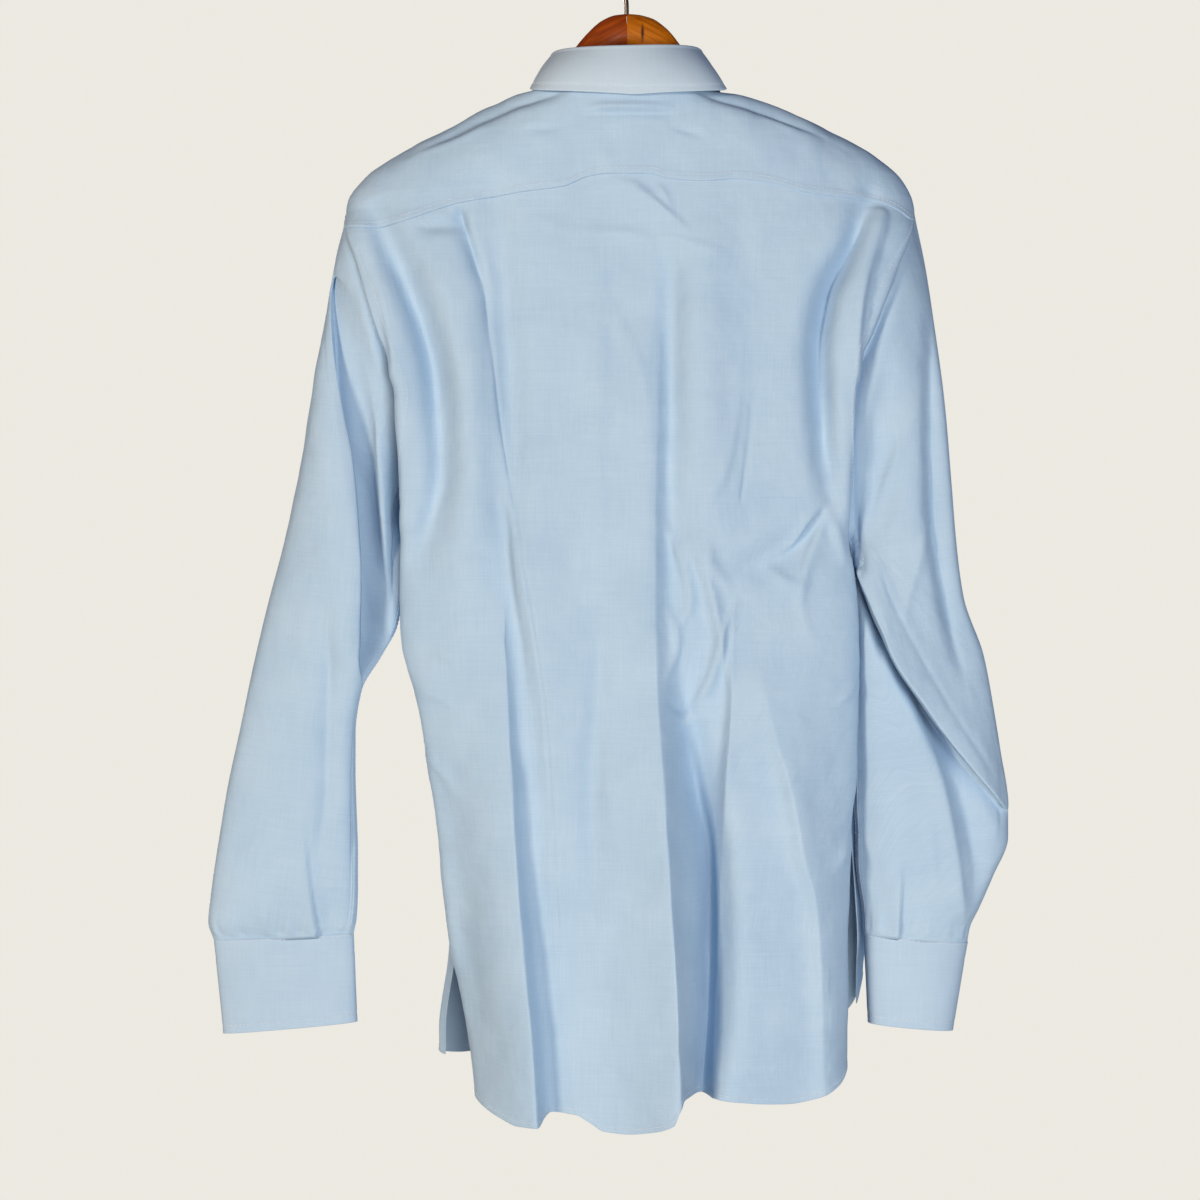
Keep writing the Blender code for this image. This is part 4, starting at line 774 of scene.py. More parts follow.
def sleeve(side, turn, along, without=()):
    """Points of a sleeve's middle surface, which starts as the armhole and carries the sleeve's folds."""
    to_armhole = armhole(side, turn) - sleeve_section(side, turn, np.zeros_like(along))
    points = sleeve_section(side, turn, along)
    points = points + to_armhole * (1 - smooth_step(along / SLEEVE_HEAD))[..., None]
    behind = np.sin(2 * math.pi * turn) > 0
    calm = (1 - np.abs(around_once(turn)) ** 8) * smooth_step(along / 0.07)
    folds = [fold for fold in SLEEVE_FOLDS[side] if fold[0] not in without]
    back_relief = fold_relief(folds, points[..., 0], points[..., 2])
    front_relief = fold_relief(SLEEVE_FRONT_FOLDS[side], points[..., 0], points[..., 2])
    points[..., 1] += calm * np.where(behind, back_relief, -front_relief)
    return points


def cuff(side, turn, down):
    """Points of a cuff. turn goes once round and on, where the cuff laps over its own end in front."""
    ends = CUFFS[side]
    (top_out_x, top_out_z), (low_out_x, low_out_z) = ends["outer"]
    (top_in_x, top_in_z), (low_in_x, low_in_z) = ends["inner"]
    outer_x = top_out_x + (low_out_x - top_out_x) * down
    outer_z = top_out_z + (low_out_z - top_out_z) * down
    inner_x = top_in_x + (low_in_x - top_in_x) * down
    inner_z = top_in_z + (low_in_z - top_in_z) * down
    reach = around_once(turn)
    crown = np.maximum(1 - np.abs(reach) ** SLEEVE_SQUARENESS, 0) ** (1 / SLEEVE_SQUARENESS)
    over = (CUFF_WALL + 0.7) * smooth_step((turn - CUFF_START - 1 + 0.05) / 0.05)
    x = side * ((outer_x + inner_x) / 2 + (outer_x - inner_x) / 2 * reach)
    y = (ends["half_thick"] * crown + over) * np.sign(np.sin(2 * math.pi * turn))
    z = (outer_z + inner_z) / 2 + (outer_z - inner_z) / 2 * reach
    return np.stack([x, y, z], axis=-1)


def collar_base(place):
    """The neck seam. place is -1 at the centre front on the right, 0 at the centre back and 1 on the left."""
    behind = torso(BACK, np.clip(2 * place, -1, 1), NECK_Z + 0 * place)
    before = torso(FRONT, np.sign(place) * (2 - 2 * np.abs(place)), NECK_Z + 0 * place)
    return np.where((np.abs(place) <= 0.5)[..., None], behind, before)


def collar_out(place):
    base = collar_base(place) - np.array([0.0, NECK_MIDDLE_Y, 0.0])
    base[..., 2] = 0
    return unit(base)


def stand(place, up):
    """Points of the collar stand, which leans in as it rises."""
    base = collar_base(place)
    points = base.copy()
    points[..., 0] *= 1 - STAND_LEAN * up
    points[..., 1] = NECK_MIDDLE_Y + (base[..., 1] - NECK_MIDDLE_Y) * (1 - STAND_LEAN * up)
    side_rise = COLLAR_SIDE_RISE * (base[..., 0] / 72) ** 2
    points[..., 2] += STAND_FOOT + (STAND_HEIGHT - 1.5 - COLLAR_TILT * base[..., 0] + side_rise) * up
    return points


def leaf_edge(place):
    size = np.abs(place)
    across = np.sign(place) * curve(LEAF_EDGE["place"], LEAF_EDGE["across"], size)
    ring = curve(LEAF_EDGE["place"], LEAF_EDGE["ring"], size)
    behind = torso(BACK, across, ring)
    before = torso(FRONT, across, ring)
    points = np.where((size <= 0.5)[..., None], behind, before)
    out = collar_out(place)
    out[..., 2] = 0.55
    return points + (LEAF_CLEARANCE + 3 * smooth_step((size - 0.5) / 0.3))[..., None] * out


def leaf(place, down):
    """Points of the collar leaf, from the top of the stand over its roll and down to its lower edge."""
    top = stand(place, np.ones_like(place))
    out = collar_out(place)
    rise = np.array([0.0, 0.0, 1.0])
    bend = math.pi * np.clip(down / LEAF_ROLL, 0, 1)
    fall = np.clip((down - LEAF_ROLL) / (1 - LEAF_ROLL), 0, 1)
    rolled = top + rise * 1.9 + out * (LEAF_ROLL_RADIUS * (1 - np.cos(bend)))[..., None]
    rolled += rise * (LEAF_ROLL_RADIUS * np.sin(bend))[..., None]
    points = rolled + (leaf_edge(place) - rolled) * fall[..., None]
    bulge = LEAF_BULGE + 5 * smooth_step((np.abs(place) - 0.5) / 0.3)
    return points + out * (bulge * np.sin(math.pi * fall))[..., None]


# Dressing the surfaces


def normals_of(points, outward=None, middle=None):
    """Unit normals of a grid of points. They look along outward, or away from the middle line's y."""
    along = np.gradient(points, axis=1)
    over = np.gradient(points, axis=0)
    normal = unit(np.cross(over, along))
    if outward is not None:
        if (normal @ np.array(outward, float)).sum() < 0:
            normal = -normal
    elif (normal[..., 1] * (points[..., 1] - middle)).sum() < 0:
        normal = -normal
    return normal


def run_lengths(points, axis):
    """How far each point of a grid is along the cloth from the grid's start."""
    step = np.linalg.norm(np.diff(points, axis=axis), axis=-1)
    zero = np.zeros_like(np.take(step, [0], axis=axis))
    return np.concatenate([zero, np.cumsum(step, axis=axis)], axis=axis)


def flat_place(points, warp):
    """Where each point lies on the flat cloth, in metres. The warp threads run along warp, a direction in
    the hanger's plane, and places across them are measured round the form from the grid's centre column."""
    warp = np.array(warp, float) / np.linalg.norm(warp)
    weft = np.cross(warp, (0.0, 1.0, 0.0))
    centre = len(points) // 2
    step = np.diff(points, axis=0)
    across = np.sqrt(np.maximum((step**2).sum(axis=-1) - (step @ warp) ** 2, 0))
    across = np.concatenate([np.zeros_like(across[:1]), np.cumsum(across, axis=0)])
    way = np.sign((step[centre - 1] @ weft).mean())
    across = way * (across - across[centre]) + points[centre] @ weft
    return np.stack([across, points @ warp], axis=-1) * MM


def band(distance, width, height=0.5):
    """A strip beside an edge, thicker by the allowance under it, with a groove where its stitches pull."""
    strip = height * smooth_step((width + 0.6 - distance) / 1.2)
    return strip - 0.35 * np.exp(-(((distance - width + 1.0) / 0.8) ** 2))


def spread(count, length, fine_start=(), fine_end=()):
    """Places from 0 to 1, evenly spread but for closer ones near each end, given as lengths."""
    first = np.array([0.0, *fine_start]) / length
    last = 1 - np.array([*fine_end[::-1], 0.0]) / length
    between = np.linspace(first[-1], last[0], count)[1:-1]
    return np.concatenate([first, between, last])


def crowded(counts, pull=1.5):
    """Columns between lines, crowded beside each: the line each starts from, and its share of the way on."""
    index, share = [0], [0.0]
    for number, count in enumerate(counts):
        steps = np.tanh(pull * np.linspace(-1, 1, count + 1)[1:]) / math.tanh(pull)
        index += [number] * count
        share += list(0.5 + 0.5 * steps)
    return np.array(index), np.array(share)


def back_columns(columns, ring):
    """Where each column of the back's grid lies across the body on its rings, following BACK_LINES."""
    index, share = columns
    ring = np.asarray(ring, float)
    lines = [-1 + 0 * ring]
    for line in BACK_LINES:
        x, z = np.array(line, float).T
        lines.append(across_at(BACK, curve(z, x, ring), ring))
    lines = np.stack([*lines, 1 + 0 * ring])
    shape = (1, len(index)) + (1,) * (ring.ndim - 1)
    start = np.take_along_axis(lines, index.reshape(shape), axis=0)[0]
    end = np.take_along_axis(lines, index.reshape(shape) + 1, axis=0)[0]
    return start + (end - start) * share.reshape(shape[1:])


def overhang(height, strength, depth, fold):
    """Steps of cloth across a fold's edge: how far past it each one lies, and how proud. With no strength the
    fold is a plain ridge, and at full strength it hangs over its own cloth."""
    rows = np.array(OVERHANG)
    at = np.linspace(0, len(rows) - 1, OVERHANG_STEPS)
    mm, share, tall, rise = (curve(np.arange(len(rows)), rows[:, i], at)[:, None] for i in range(4))
    plain = np.linspace(OVERHANG[0][0], OVERHANG[-1][0], OVERHANG_STEPS)[:, None]
    width = np.where(plain < 0, fold["width"], fold["far"])
    ridge = height * np.exp(-((np.abs(plain) / width) ** fold["power"]))
    past = plain + (mm + share * depth - plain) * strength
    proud = ridge + (tall * height + rise * np.minimum(depth / 9, 1.0) - ridge) * strength
    return past, proud


def base_normals(surface, a, b, step_a, step_b, side_y):
    """Unit normals of a surface at its places (a, b), looking away from y = side_y."""
    over = surface(a + step_a, b) - surface(a - step_a, b)
    along = surface(a, b + step_b) - surface(a, b - step_b)
    normal = unit(np.cross(over, along))
    if (normal[..., 1] * (surface(a, b)[..., 1] - side_y)).sum() < 0:
        normal = -normal
    return normal


def even_columns(count, edge=0.955, turn=9):
    """Places across the body: even along x over the face, then closer where it turns to the side."""
    face = np.arcsin(np.linspace(-edge, edge, count)) * 2 / math.pi
    side = np.linspace(face[-1], 1.0, turn + 1)[1:]
    return np.concatenate([-side[::-1], face, side])


def add_grid(mesh, points, flat):
    """Adds a grid of faces laid on an array of points, columns first, with its place on the flat cloth."""
    columns, rows = points.shape[:2]
    made = bmesh.ops.create_grid(mesh, x_segments=columns - 1, y_segments=rows - 1, size=1.0)["verts"]
    layer = mesh.loops.layers.uv.verify()
    place = {}
    for vertex in made:
        column = round((vertex.co.x + 1) / 2 * (columns - 1))
        row = round((vertex.co.y + 1) / 2 * (rows - 1))
        place[vertex] = flat[column][row]
        vertex.co = points[column, row] * MM
    faces = {face for vertex in made for face in vertex.link_faces}
    for face in faces:
        for loop in face.loops:
            loop[layer].uv = place[loop.vert]


def join_up(mesh, distance=WELD):
    """Joins points that lie together and turns the faces outwards."""
    bmesh.ops.remove_doubles(mesh, verts=mesh.verts, dist=distance)
    bmesh.ops.recalc_face_normals(mesh, faces=mesh.faces)


def finish_piece(name, mesh, material, node=None):
    data = bpy.data.meshes.new(name)
    mesh.to_mesh(data)
    mesh.free()
    for layer in data.uv_layers:
        layer.name = "flat"
    data.materials.append(material)
    piece = bpy.data.objects.new(name, data)
    bpy.context.scene.collection.objects.link(piece)
    data.shade_smooth()
    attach(piece, "root")
    if node:
        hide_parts(*([node] if isinstance(node, str) else node))
    return piece


def cloth(name, grids, material, node, wall=CLOTH, outward=None, middle=None, weld=False, warp=(0, 0, -1)):
    """A cloth piece: grids of points, given the cloth's thickness, with its faces outwards."""
    mesh = bmesh.new()
    for points in grids:
        add_grid(mesh, points, flat_place(points, warp).tolist())
    if weld:
        join_up(mesh)
    mesh.normal_update()
    if outward is not None:
        look = Vector(outward)
        facing = sum(face.normal.dot(look) * face.calc_area() for face in mesh.faces)
    else:
        facing = sum(face.normal.y * (face.calc_center_median().y - middle * MM) * face.calc_area()
                     for face in mesh.faces)
    if facing < 0:
        bmesh.ops.reverse_faces(mesh, faces=mesh.faces)
    piece = finish_piece(name, mesh, material, node)
    solidify = piece.modifiers.new("cloth thickness", "SOLIDIFY")
    solidify.thickness = wall * MM
    solidify.offset = 0.0
    return piece


def contour(points, normals, distance, value, axis):
    """The line on a grid where distance has a value, followed from column to column or row to row."""
    if axis == 0:
        points, normals, distance = (np.swapaxes(a, 0, 1) for a in (points, normals, distance))
    line, up = [], []
    for column, facing, away in zip(points, normals, distance):
        order = np.argsort(away)
        where = np.interp(value, away[order], order.astype(float))
        low = min(int(where), len(column) - 2)
        share = where - low
        line.append(column[low] * (1 - share) + column[low + 1] * share)
        up.append(facing[low] * (1 - share) + facing[low + 1] * share)
    return np.array(line), np.array(up)


def stitches(name, rows, material, wall=CLOTH, radius=THREAD_RADIUS):
    """Lockstitches: a thread that lies on the cloth for each stitch and dips into it between two stitches."""
    mesh = bmesh.new()
    for line, up in rows:
        length = lengths_along(line)
        keep = np.concatenate([[True], np.diff(length) > 1e-6])
        line, up, length = line[keep], up[keep], length[keep]
        count = max(4, int(length[-1] / 0.85))
        at = np.linspace(0, length[-1], count)
        middle = np.stack([np.interp(at, length, line[:, i]) for i in range(3)], axis=-1)
        facing = np.stack([np.interp(at, length, up[:, i]) for i in range(3)], axis=-1)
        facing = unit(facing)
        phase = at % (STITCH_LENGTH + STITCH_GAP)
        dip = (phase > STITCH_LENGTH) * 1.0
        middle = middle + facing * (wall / 2 + radius * 0.5 - dip * (radius + 0.25))[:, None]
        beside = np.cross(facing, unit(np.gradient(middle, axis=0)))
        thick = np.full(count, radius)
        thick[[0, -1]] = 0.001
        points = np.array([middle + thick[:, None] * (beside * math.cos(a) + facing * math.sin(a))
                           for a in np.radians((0, 90, 180, 270, 360))])
        add_grid(mesh, points, np.zeros((5, count, 2)).tolist())
    join_up(mesh, 0.000004)
    return finish_piece(name, mesh, material)


def crumple(points, amount, seed):
    """Small uneven waves of worn and pressed cloth."""
    x, z = points[..., 0], points[..., 2]
    waves = 0.8 * soft_noise(x, z * 0.55, 34, seed) + 0.35 * soft_noise(x, z * 0.7, 15, seed + 1)
    return amount * (waves + 0.14 * soft_noise(x, z * 0.8, 8, seed + 2))


def main():
    light_cloth = cotton_poplin("cotton poplin", ("#97B8D6", "#A8C6E0"), 1.0)
    firm_cloth = cotton_poplin("interlined cotton poplin", ("#9BBAD7", "#A9C6E0"), 0.25)
    # Painted light: the collar's cloth is the same poplin in a lighter tone. The lighter tone stands in for
    # the brighter light that falls on the collar.
    painted_lighter_collar_cloth = cotton_poplin("collar cotton poplin painted lighter", ("#ADC8DE", "#B8D0E4"), 0.2)
    thread = sewing_thread()
    make_back(light_cloth, thread)
    make_yoke(light_cloth, thread)
    make_front("front_left", LEFT, light_cloth, thread)
    make_front("front_right", RIGHT, light_cloth, thread)
    make_placket(light_cloth, thread)
    make_collar(painted_lighter_collar_cloth, thread)
    for name, side in (("left", LEFT), ("right", RIGHT)):
        make_sleeve(name, side, light_cloth, thread)
        make_cuff(name, side, firm_cloth, thread)
    make_buttons(mother_of_pearl(), thread)
    make_hanger()
    make_stage()


def make_back(material, thread):
    columns = crowded(BACK_COLUMNS)
    seam = np.full(len(columns[0]), -200.0)
    hem = np.full(len(columns[0]), -930.0)
    for _ in range(3):
        seam = ring_at_line(BACK, back_columns(columns, seam), YOKE_SEAM, -200)
        hem = ring_at_line(BACK, back_columns(columns, hem), BACK_HEM, -900)
    top = seam + 5
    share = spread(200, 745, fine_start=(3, 5.4, 6.6, *np.arange(8, 62, 1.8)), fine_end=HEM_ROWS)
    ring = top[:, None] + (hem - top)[:, None] * share
    across = back_columns(columns, ring)
    points = torso(BACK, across, ring)
    normals = normals_of(points, outward=(0, 1, 0))
    from_left = run_lengths(points[::-1], 0)[::-1]
    from_right = run_lengths(points, 0)
    to_side = np.minimum(from_left, from_right)
    down = run_lengths(points, 1)
    to_hem = down[:, -1:] - down
    below_yoke = smooth_step((seam[:, None] - ring) / 9)
    relief = CREASED * fold_relief(BACK_CREASES, points[..., 0], points[..., 2]) * below_yoke
    relief += crumple(points, WORN, 11) * smooth_step((1 - np.abs(across)) / 0.12)
    relief += band(to_hem, HEM)
    above_arm = ring > UNDERARM_Z + 6
    relief += np.where(above_arm, band(to_side, ARMHOLE_ALLOWANCE), 0.0) * below_yoke
    relief -= 0.5 * smooth_step((ring - seam[:, None] + 0.5) / 2)
    points = points + normals * relief[..., None]
    piece = cloth("back_panel", [points], material, "back", outward=(0, 1, 0))
    rows = [contour(points, normals, to_hem, HEM_STITCH, 1)]
    for away in (from_left, from_right):
        line, up = contour(points[:, 3:], normals[:, 3:], away[:, 3:], ARMHOLE_STITCH, 0)
        held = line[:, 2] > UNDERARM_Z + 4
        rows.append((line[held], up[held]))
    sewing = stitches("back_stitches", rows, thread)


def make_yoke(material, thread):
    across = even_columns(146)
    seam = ring_at_line(BACK, across, YOKE_SEAM, -200)
    shares = []
    for end in (seam[0], seam[-1]):
        ridge = np.concatenate(
            [np.linspace(NECK_Z, SHOULDER_Z, YOKE_ROWS), np.linspace(SHOULDER_Z, end, 9)[1:]])
        shares.append((ridge - NECK_Z) / (end - NECK_Z))
    mix = ((across + 1) / 2)[:, None]
    ring = NECK_Z + (seam - NECK_Z)[:, None] * (shares[0] * (1 - mix) + shares[1] * mix)
    points = torso(BACK, across[:, None] + 0 * ring, ring)
    normals = normals_of(points, outward=(0, 1, 0))
    down = run_lengths(points, 1)
    to_seam = down[:, -1:] - down
    inside = smooth_step((1 - np.abs(across)) / 0.03)[:, None]
    relief = fold_relief(YOKE_CREASES, points[..., 0], points[..., 2])
    relief += crumple(points, WORN, 11) * smooth_step((1 - np.abs(across)) / 0.12)[:, None]
    relief += band(to_seam, 6.0, height=0.6) + 0.12
    points = points + normals * (relief * inside)[..., None]
    grids = [points]
    inward = np.linspace(0, 1, 15)[:, None]
    front_rows = []
    for side, column in ((LEFT, -1), (RIGHT, 0)):
        level = ring[column]
        edge = np.minimum(front_yoke_edge(level) - 0.002, 1.0)
        place = 1 + (edge - 1) * inward
        front = torso(FRONT, side * place, level + 0 * place)
        facing = normals_of(front, outward=(0, -1, 0))
        grids.append(front)
        front_rows.append((front[-2, :YOKE_ROWS], facing[-2, :YOKE_ROWS]))
    piece = cloth("yoke_panel", grids, material, "yoke", outward=(0, 1, 0), weld=True)
    line, up = contour(points, normals, to_seam, 5.0, 1)
    sewing = stitches("yoke_stitches", [(line[4:-4], up[4:-4]), *front_rows], thread)


def front_yoke_edge(ring):
    """Where the yoke's front seam crosses each ring, across the left front: 1 is the shoulder ridge."""
    return curve((NECK_Z, -150, -190, SHOULDER_Z, -228), (0.60, 0.72, 0.80, 0.88, 0.995), ring)


def front_ring_rows(across, count=210):
    hem = ring_at_line(FRONT, across, FRONT_HEM, -860)
    share = spread(count, 760, fine_start=(1.0, 4.5, 5.5), fine_end=HEM_ROWS)
    return NECK_Z + (hem - NECK_Z)[:, None] * share


def front_lift(side, x):
    return 0.0 * x if side == RIGHT else LAP_LIFT * smooth_step((FRONT_LAP + 26 - x) / 26)


def make_front(name, side, material, thread):
    """A front, from its side edge to just past the centre line. The left one lies over the right one."""
    inward = spread(74, 230, fine_start=(1.2, 2.5, 4, 6, 8, 9, 10, 11, 13))
    lap = side * across_at(FRONT, -side * FRONT_LAP, -890)
    ring = front_ring_rows(side * (1 + (lap - 1) * inward))
    outer = np.where(ring > YOKE_FRONT_END_Z, np.minimum(front_yoke_edge(ring) + 0.008, 1.0), 1.0)
    lap = side * across_at(FRONT, -side * FRONT_LAP, ring)
    points = torso(FRONT, side * (outer + (lap - outer) * inward[:, None]), ring)
    normals = normals_of(points, outward=(0, -1, 0))
    to_side = run_lengths(points, 0)
    down = run_lengths(points, 1)
    to_hem = down[:, -1:] - down
    relief = fold_relief(FRONT_CREASES, points[..., 0], points[..., 2])
    relief += crumple(points, WORN, 31 if side == LEFT else 41) * smooth_step(to_side / 25)
    relief += band(to_hem, HEM)
    under_yoke = smooth_step((ring - YOKE_FRONT_END_Z) / 8)
    above_arm = (ring > UNDERARM_Z + 6) & (ring < YOKE_FRONT_END_Z)
    relief += np.where(above_arm, band(to_side, ARMHOLE_ALLOWANCE), 0.0)
    relief *= 1 - under_yoke
    relief -= under_yoke * 0.8 * smooth_step((9 - to_side) / 4)
    near_lap = smooth_step((26 - np.abs(points[..., 0])) / 12)
    relief *= 1 - near_lap
    points = points + normals * relief[..., None]
    points[..., 1] -= front_lift(side, points[..., 0])
    piece = cloth(name + "_panel", [points], material, name, outward=(0, -1, 0))
    line, up = contour(points, normals, to_side, ARMHOLE_STITCH, 0)
    held = (line[:, 2] > UNDERARM_Z + 4) & (ring[0] < YOKE_FRONT_END_Z)
    rows = [contour(points, normals, to_hem, HEM_STITCH, 1), (line[held], up[held])]
    sewing = stitches(name + "_stitches", rows, thread)


def placket_point(x, ring):
    points = torso(FRONT, across_at(FRONT, x, ring), ring)
    points[..., 1] -= front_lift(LEFT, points[..., 0]) + PLACKET_LIFT
    return points


def make_placket(material, thread):
    x = np.array([-17, -16.4, -12.4, -11.6, -10.8, -6, -3, 0, 3, 6, 10.8, 11.6, 12.4, 16.4, 17])
    ring = front_ring_rows(across_at(FRONT, x, -890), count=190)
    points = placket_point(x[:, None] + 0 * ring, ring)
    normals = normals_of(points, outward=(0, -1, 0))
    to_edge = FRONT_LAP - np.abs(x)[:, None] + 0 * ring
    relief = band(to_edge, 6.5, height=0.0) + 0.35 * soft_noise(0 * ring + 3.0, ring, 22, 51)
    points = points + normals * relief[..., None]
    piece = cloth("placket_band", [points], material, "front_placket", wall=DOUBLE_CLOTH, outward=(0, -1, 0))
    rows = []
    for edge in (-11.6, 11.6):
        column = int(np.argmin(np.abs(x - edge)))
        rows.append((points[column], normals[column]))
    sewing = stitches("placket_stitches", rows, thread, wall=DOUBLE_CLOTH)


def make_collar(material, thread):
    around = np.linspace(0, 1, 150)[:, None]
    up = spread(16, 28, fine_start=(1, 2, 3), fine_end=(1, 2, 3))[None, :]
    lap = FRONT_LAP / 72 / math.pi
    place = -1 - lap + around * (2 + 2 * lap) + 0 * up
    lift = 2.3 * smooth_step((place - 1 + lap + 0.08) / 0.08)
    points = stand(place, up + 0 * place) + lift[..., None] * collar_out(place)
    normals = collar_out(place)
    piece = cloth("collar_stand_band", [points], material, "collar_stand", wall=DOUBLE_CLOTH,
                  outward=(0, 1, 0))
    rows = [(points[:, 3], normals[:, 3]), (points[:, -4], normals[:, -4])]
    sewing = stitches("collar_stand_stitches", rows, thread, wall=DOUBLE_CLOTH)
    fall = LEAF_ROLL + (1 - LEAF_ROLL) * spread(22, 34, fine_end=(0.8, 4.4, 5.2, 6.0, 7.0))
    down = np.concatenate([np.linspace(0, LEAF_ROLL, 9)[:-1], fall])[None, :]
    around = np.linspace(0, 1, 190)[:, None]
    place = -LEAF_END + 2 * LEAF_END * around + 0 * down
    points = leaf(place, down + 0 * place)
    normals = normals_of(points, outward=(0, 0, 1))
    length = run_lengths(points, 1)
    to_edge = length[:, -1:] - length
    ends = run_lengths(points, 0)
    to_end = np.minimum(ends, ends[-1:] - ends)
    relief = np.minimum(band(to_edge, 6.5, height=0.0), band(to_end, 6.5, height=0.0))
    points = points + normals * relief[..., None]
    piece = cloth("collar_leaf_band", [points], material, "collar_leaf", wall=DOUBLE_CLOTH, outward=(0, 0, 1))
    sewing = stitches("collar_leaf_stitches", [contour(points, normals, to_edge, 5.5, 1)], thread,
                      wall=DOUBLE_CLOTH)


def pocket(away, reach):
    """How the depth of a pocket dies away from a fold's edge."""
    return np.exp(-((away / reach) ** 1.6))


def elbow_grid(side):
    """The right sleeve's grid, whose rows follow the edge of the fold over the elbow behind it."""
    fold = ELBOW_FOLD
    turn = 0.5 + np.linspace(0, 1, 173)
    behind = np.clip(turn - 1.0, 0, 0.5)
    edge = np.full(turn.shape, 0.6)
    for _ in range(40):
        point = sleeve_section(side, behind, edge)
        edge = edge + 0.5 * (point[:, 2] - curve(fold["x"], fold["z"], point[:, 0])) / SLEEVE_LENGTH
    before = turn < 1.0
    share = smooth_step((turn - 0.5) / 0.5)
    edge = np.where(before, edge[-1] + (edge[~before][0] - edge[-1]) * share, edge)
    x = sleeve_section(side, behind, edge)[:, 0]
    fade = smooth_step(behind / 0.05) * smooth_step((1.5 - turn) / 0.012)
    height = curve(fold["x"], fold["height"], x) * np.where(before, 0, fade)
    strength = smooth_step(height / 8)
    past, proud = overhang(height, strength, 9, fold)
    depth = curve(ELBOW_POCKETS["x"], ELBOW_POCKETS["depth"], x) * strength
    reach = curve(ELBOW_POCKETS["reach_x"], ELBOW_POCKETS["reach"], x)
    under = np.arange(OVERHANG_STEPS)[:, None] > OVERHANG_EDGE_STEP
    sunk = depth * pocket(np.maximum(past - 2, 0), reach) * under
    upper = spread(76, SLEEVE_LENGTH / 2, fine_start=SLEEVE_START_ROWS)[:-1, None]
    lower = spread(58, SLEEVE_LENGTH / 2, fine_end=SLEEVE_END_ROWS)[1:, None]
    start, end = edge + past[0] / SLEEVE_LENGTH, edge + past[-1] / SLEEVE_LENGTH
    along = np.concatenate([start * upper, edge + past / SLEEVE_LENGTH, end + (1 - end) * lower])
    above = np.abs((along[: len(upper)] - edge) * SLEEVE_LENGTH) * 0.8
    ridge = height * np.exp(-((above / fold["width"]) ** fold["power"]))
    below = (along[-len(lower):] - edge) * SLEEVE_LENGTH
    proud = np.concatenate([ridge, proud, 0 * below])
    sunk = np.concatenate([0 * ridge, sunk, depth * pocket(below - 2, reach)])
    return turn[:, None] + 0 * along.T, along.T, proud.T, sunk.T


def forearm_grid(side):
    """The left sleeve's grid, whose columns follow the edge of the long fold behind it."""
    fold = FOREARM_FOLD
    along = spread(150, SLEEVE_LENGTH, fine_start=SLEEVE_START_ROWS, fine_end=SLEEVE_END_ROWS)
    outer = sleeve_section(side, np.zeros_like(along), along)
    inner = sleeve_section(side, np.full_like(along, 0.5), along)
    middle, half = (outer + inner) / 2, (outer - inner) / 2
    reach = np.zeros_like(along)
    for _ in range(30):
        z = middle[:, 2] + half[:, 2] * reach
        reach = np.clip((curve(fold["z"], fold["x"], z) - middle[:, 0]) / half[:, 0], -0.90, 0.9)
    z = middle[:, 2] + half[:, 2] * reach
    height = curve(fold["z"], fold["height"], z)
    strength = smooth_step((-232 - z) / 45) * smooth_step((z + 640) / 40)
    past, proud = overhang(height, strength, curve(fold["hang_z"], fold["hang"], z), fold)
    depth = curve(FOREARM_POCKET["z"], FOREARM_POCKET["depth"], z)
    wide = np.minimum((reach + 0.985) * half[:, 0] / 28, 1.0)
    past = np.where(past > 0, past * wide, past)
    reaches = reach - past / half[:, 0]
    first = np.linspace(0, 1, 66)[:-1, None]
    turns = np.arccos(np.clip(reaches, -1, 1)) / (2 * math.pi)
    outside = turns[0] * first
    across = (around_once(outside) - reach) * half[:, 0]
    ridge = height * np.exp(-((np.abs(across) / fold["width"]) ** fold["power"]))
    last = np.linspace(0, 1, 20)[1:, None]
    inside = turns[-1] + (0.5 - turns[-1]) * last
    front = np.linspace(0.5, 1.0, 76)[:-1, None] + 0 * along
    turn = np.concatenate([front, 1 + outside, 1 + turns, 1 + inside])
    proud = np.concatenate([0 * front, ridge, proud, np.zeros_like(inside)])
    under = np.arange(OVERHANG_STEPS)[:, None] > OVERHANG_EDGE_STEP
    sunk = depth * pocket(np.maximum(past - 2, 0), FOREARM_POCKET["reach"]) * under
    beyond = (reach - around_once(inside)) * half[:, 0]
    sunk = np.concatenate([0 * front, 0 * ridge, sunk, depth * pocket(beyond - 2, FOREARM_POCKET["reach"])])
    return turn, along[None, :] + 0 * turn, proud, sunk


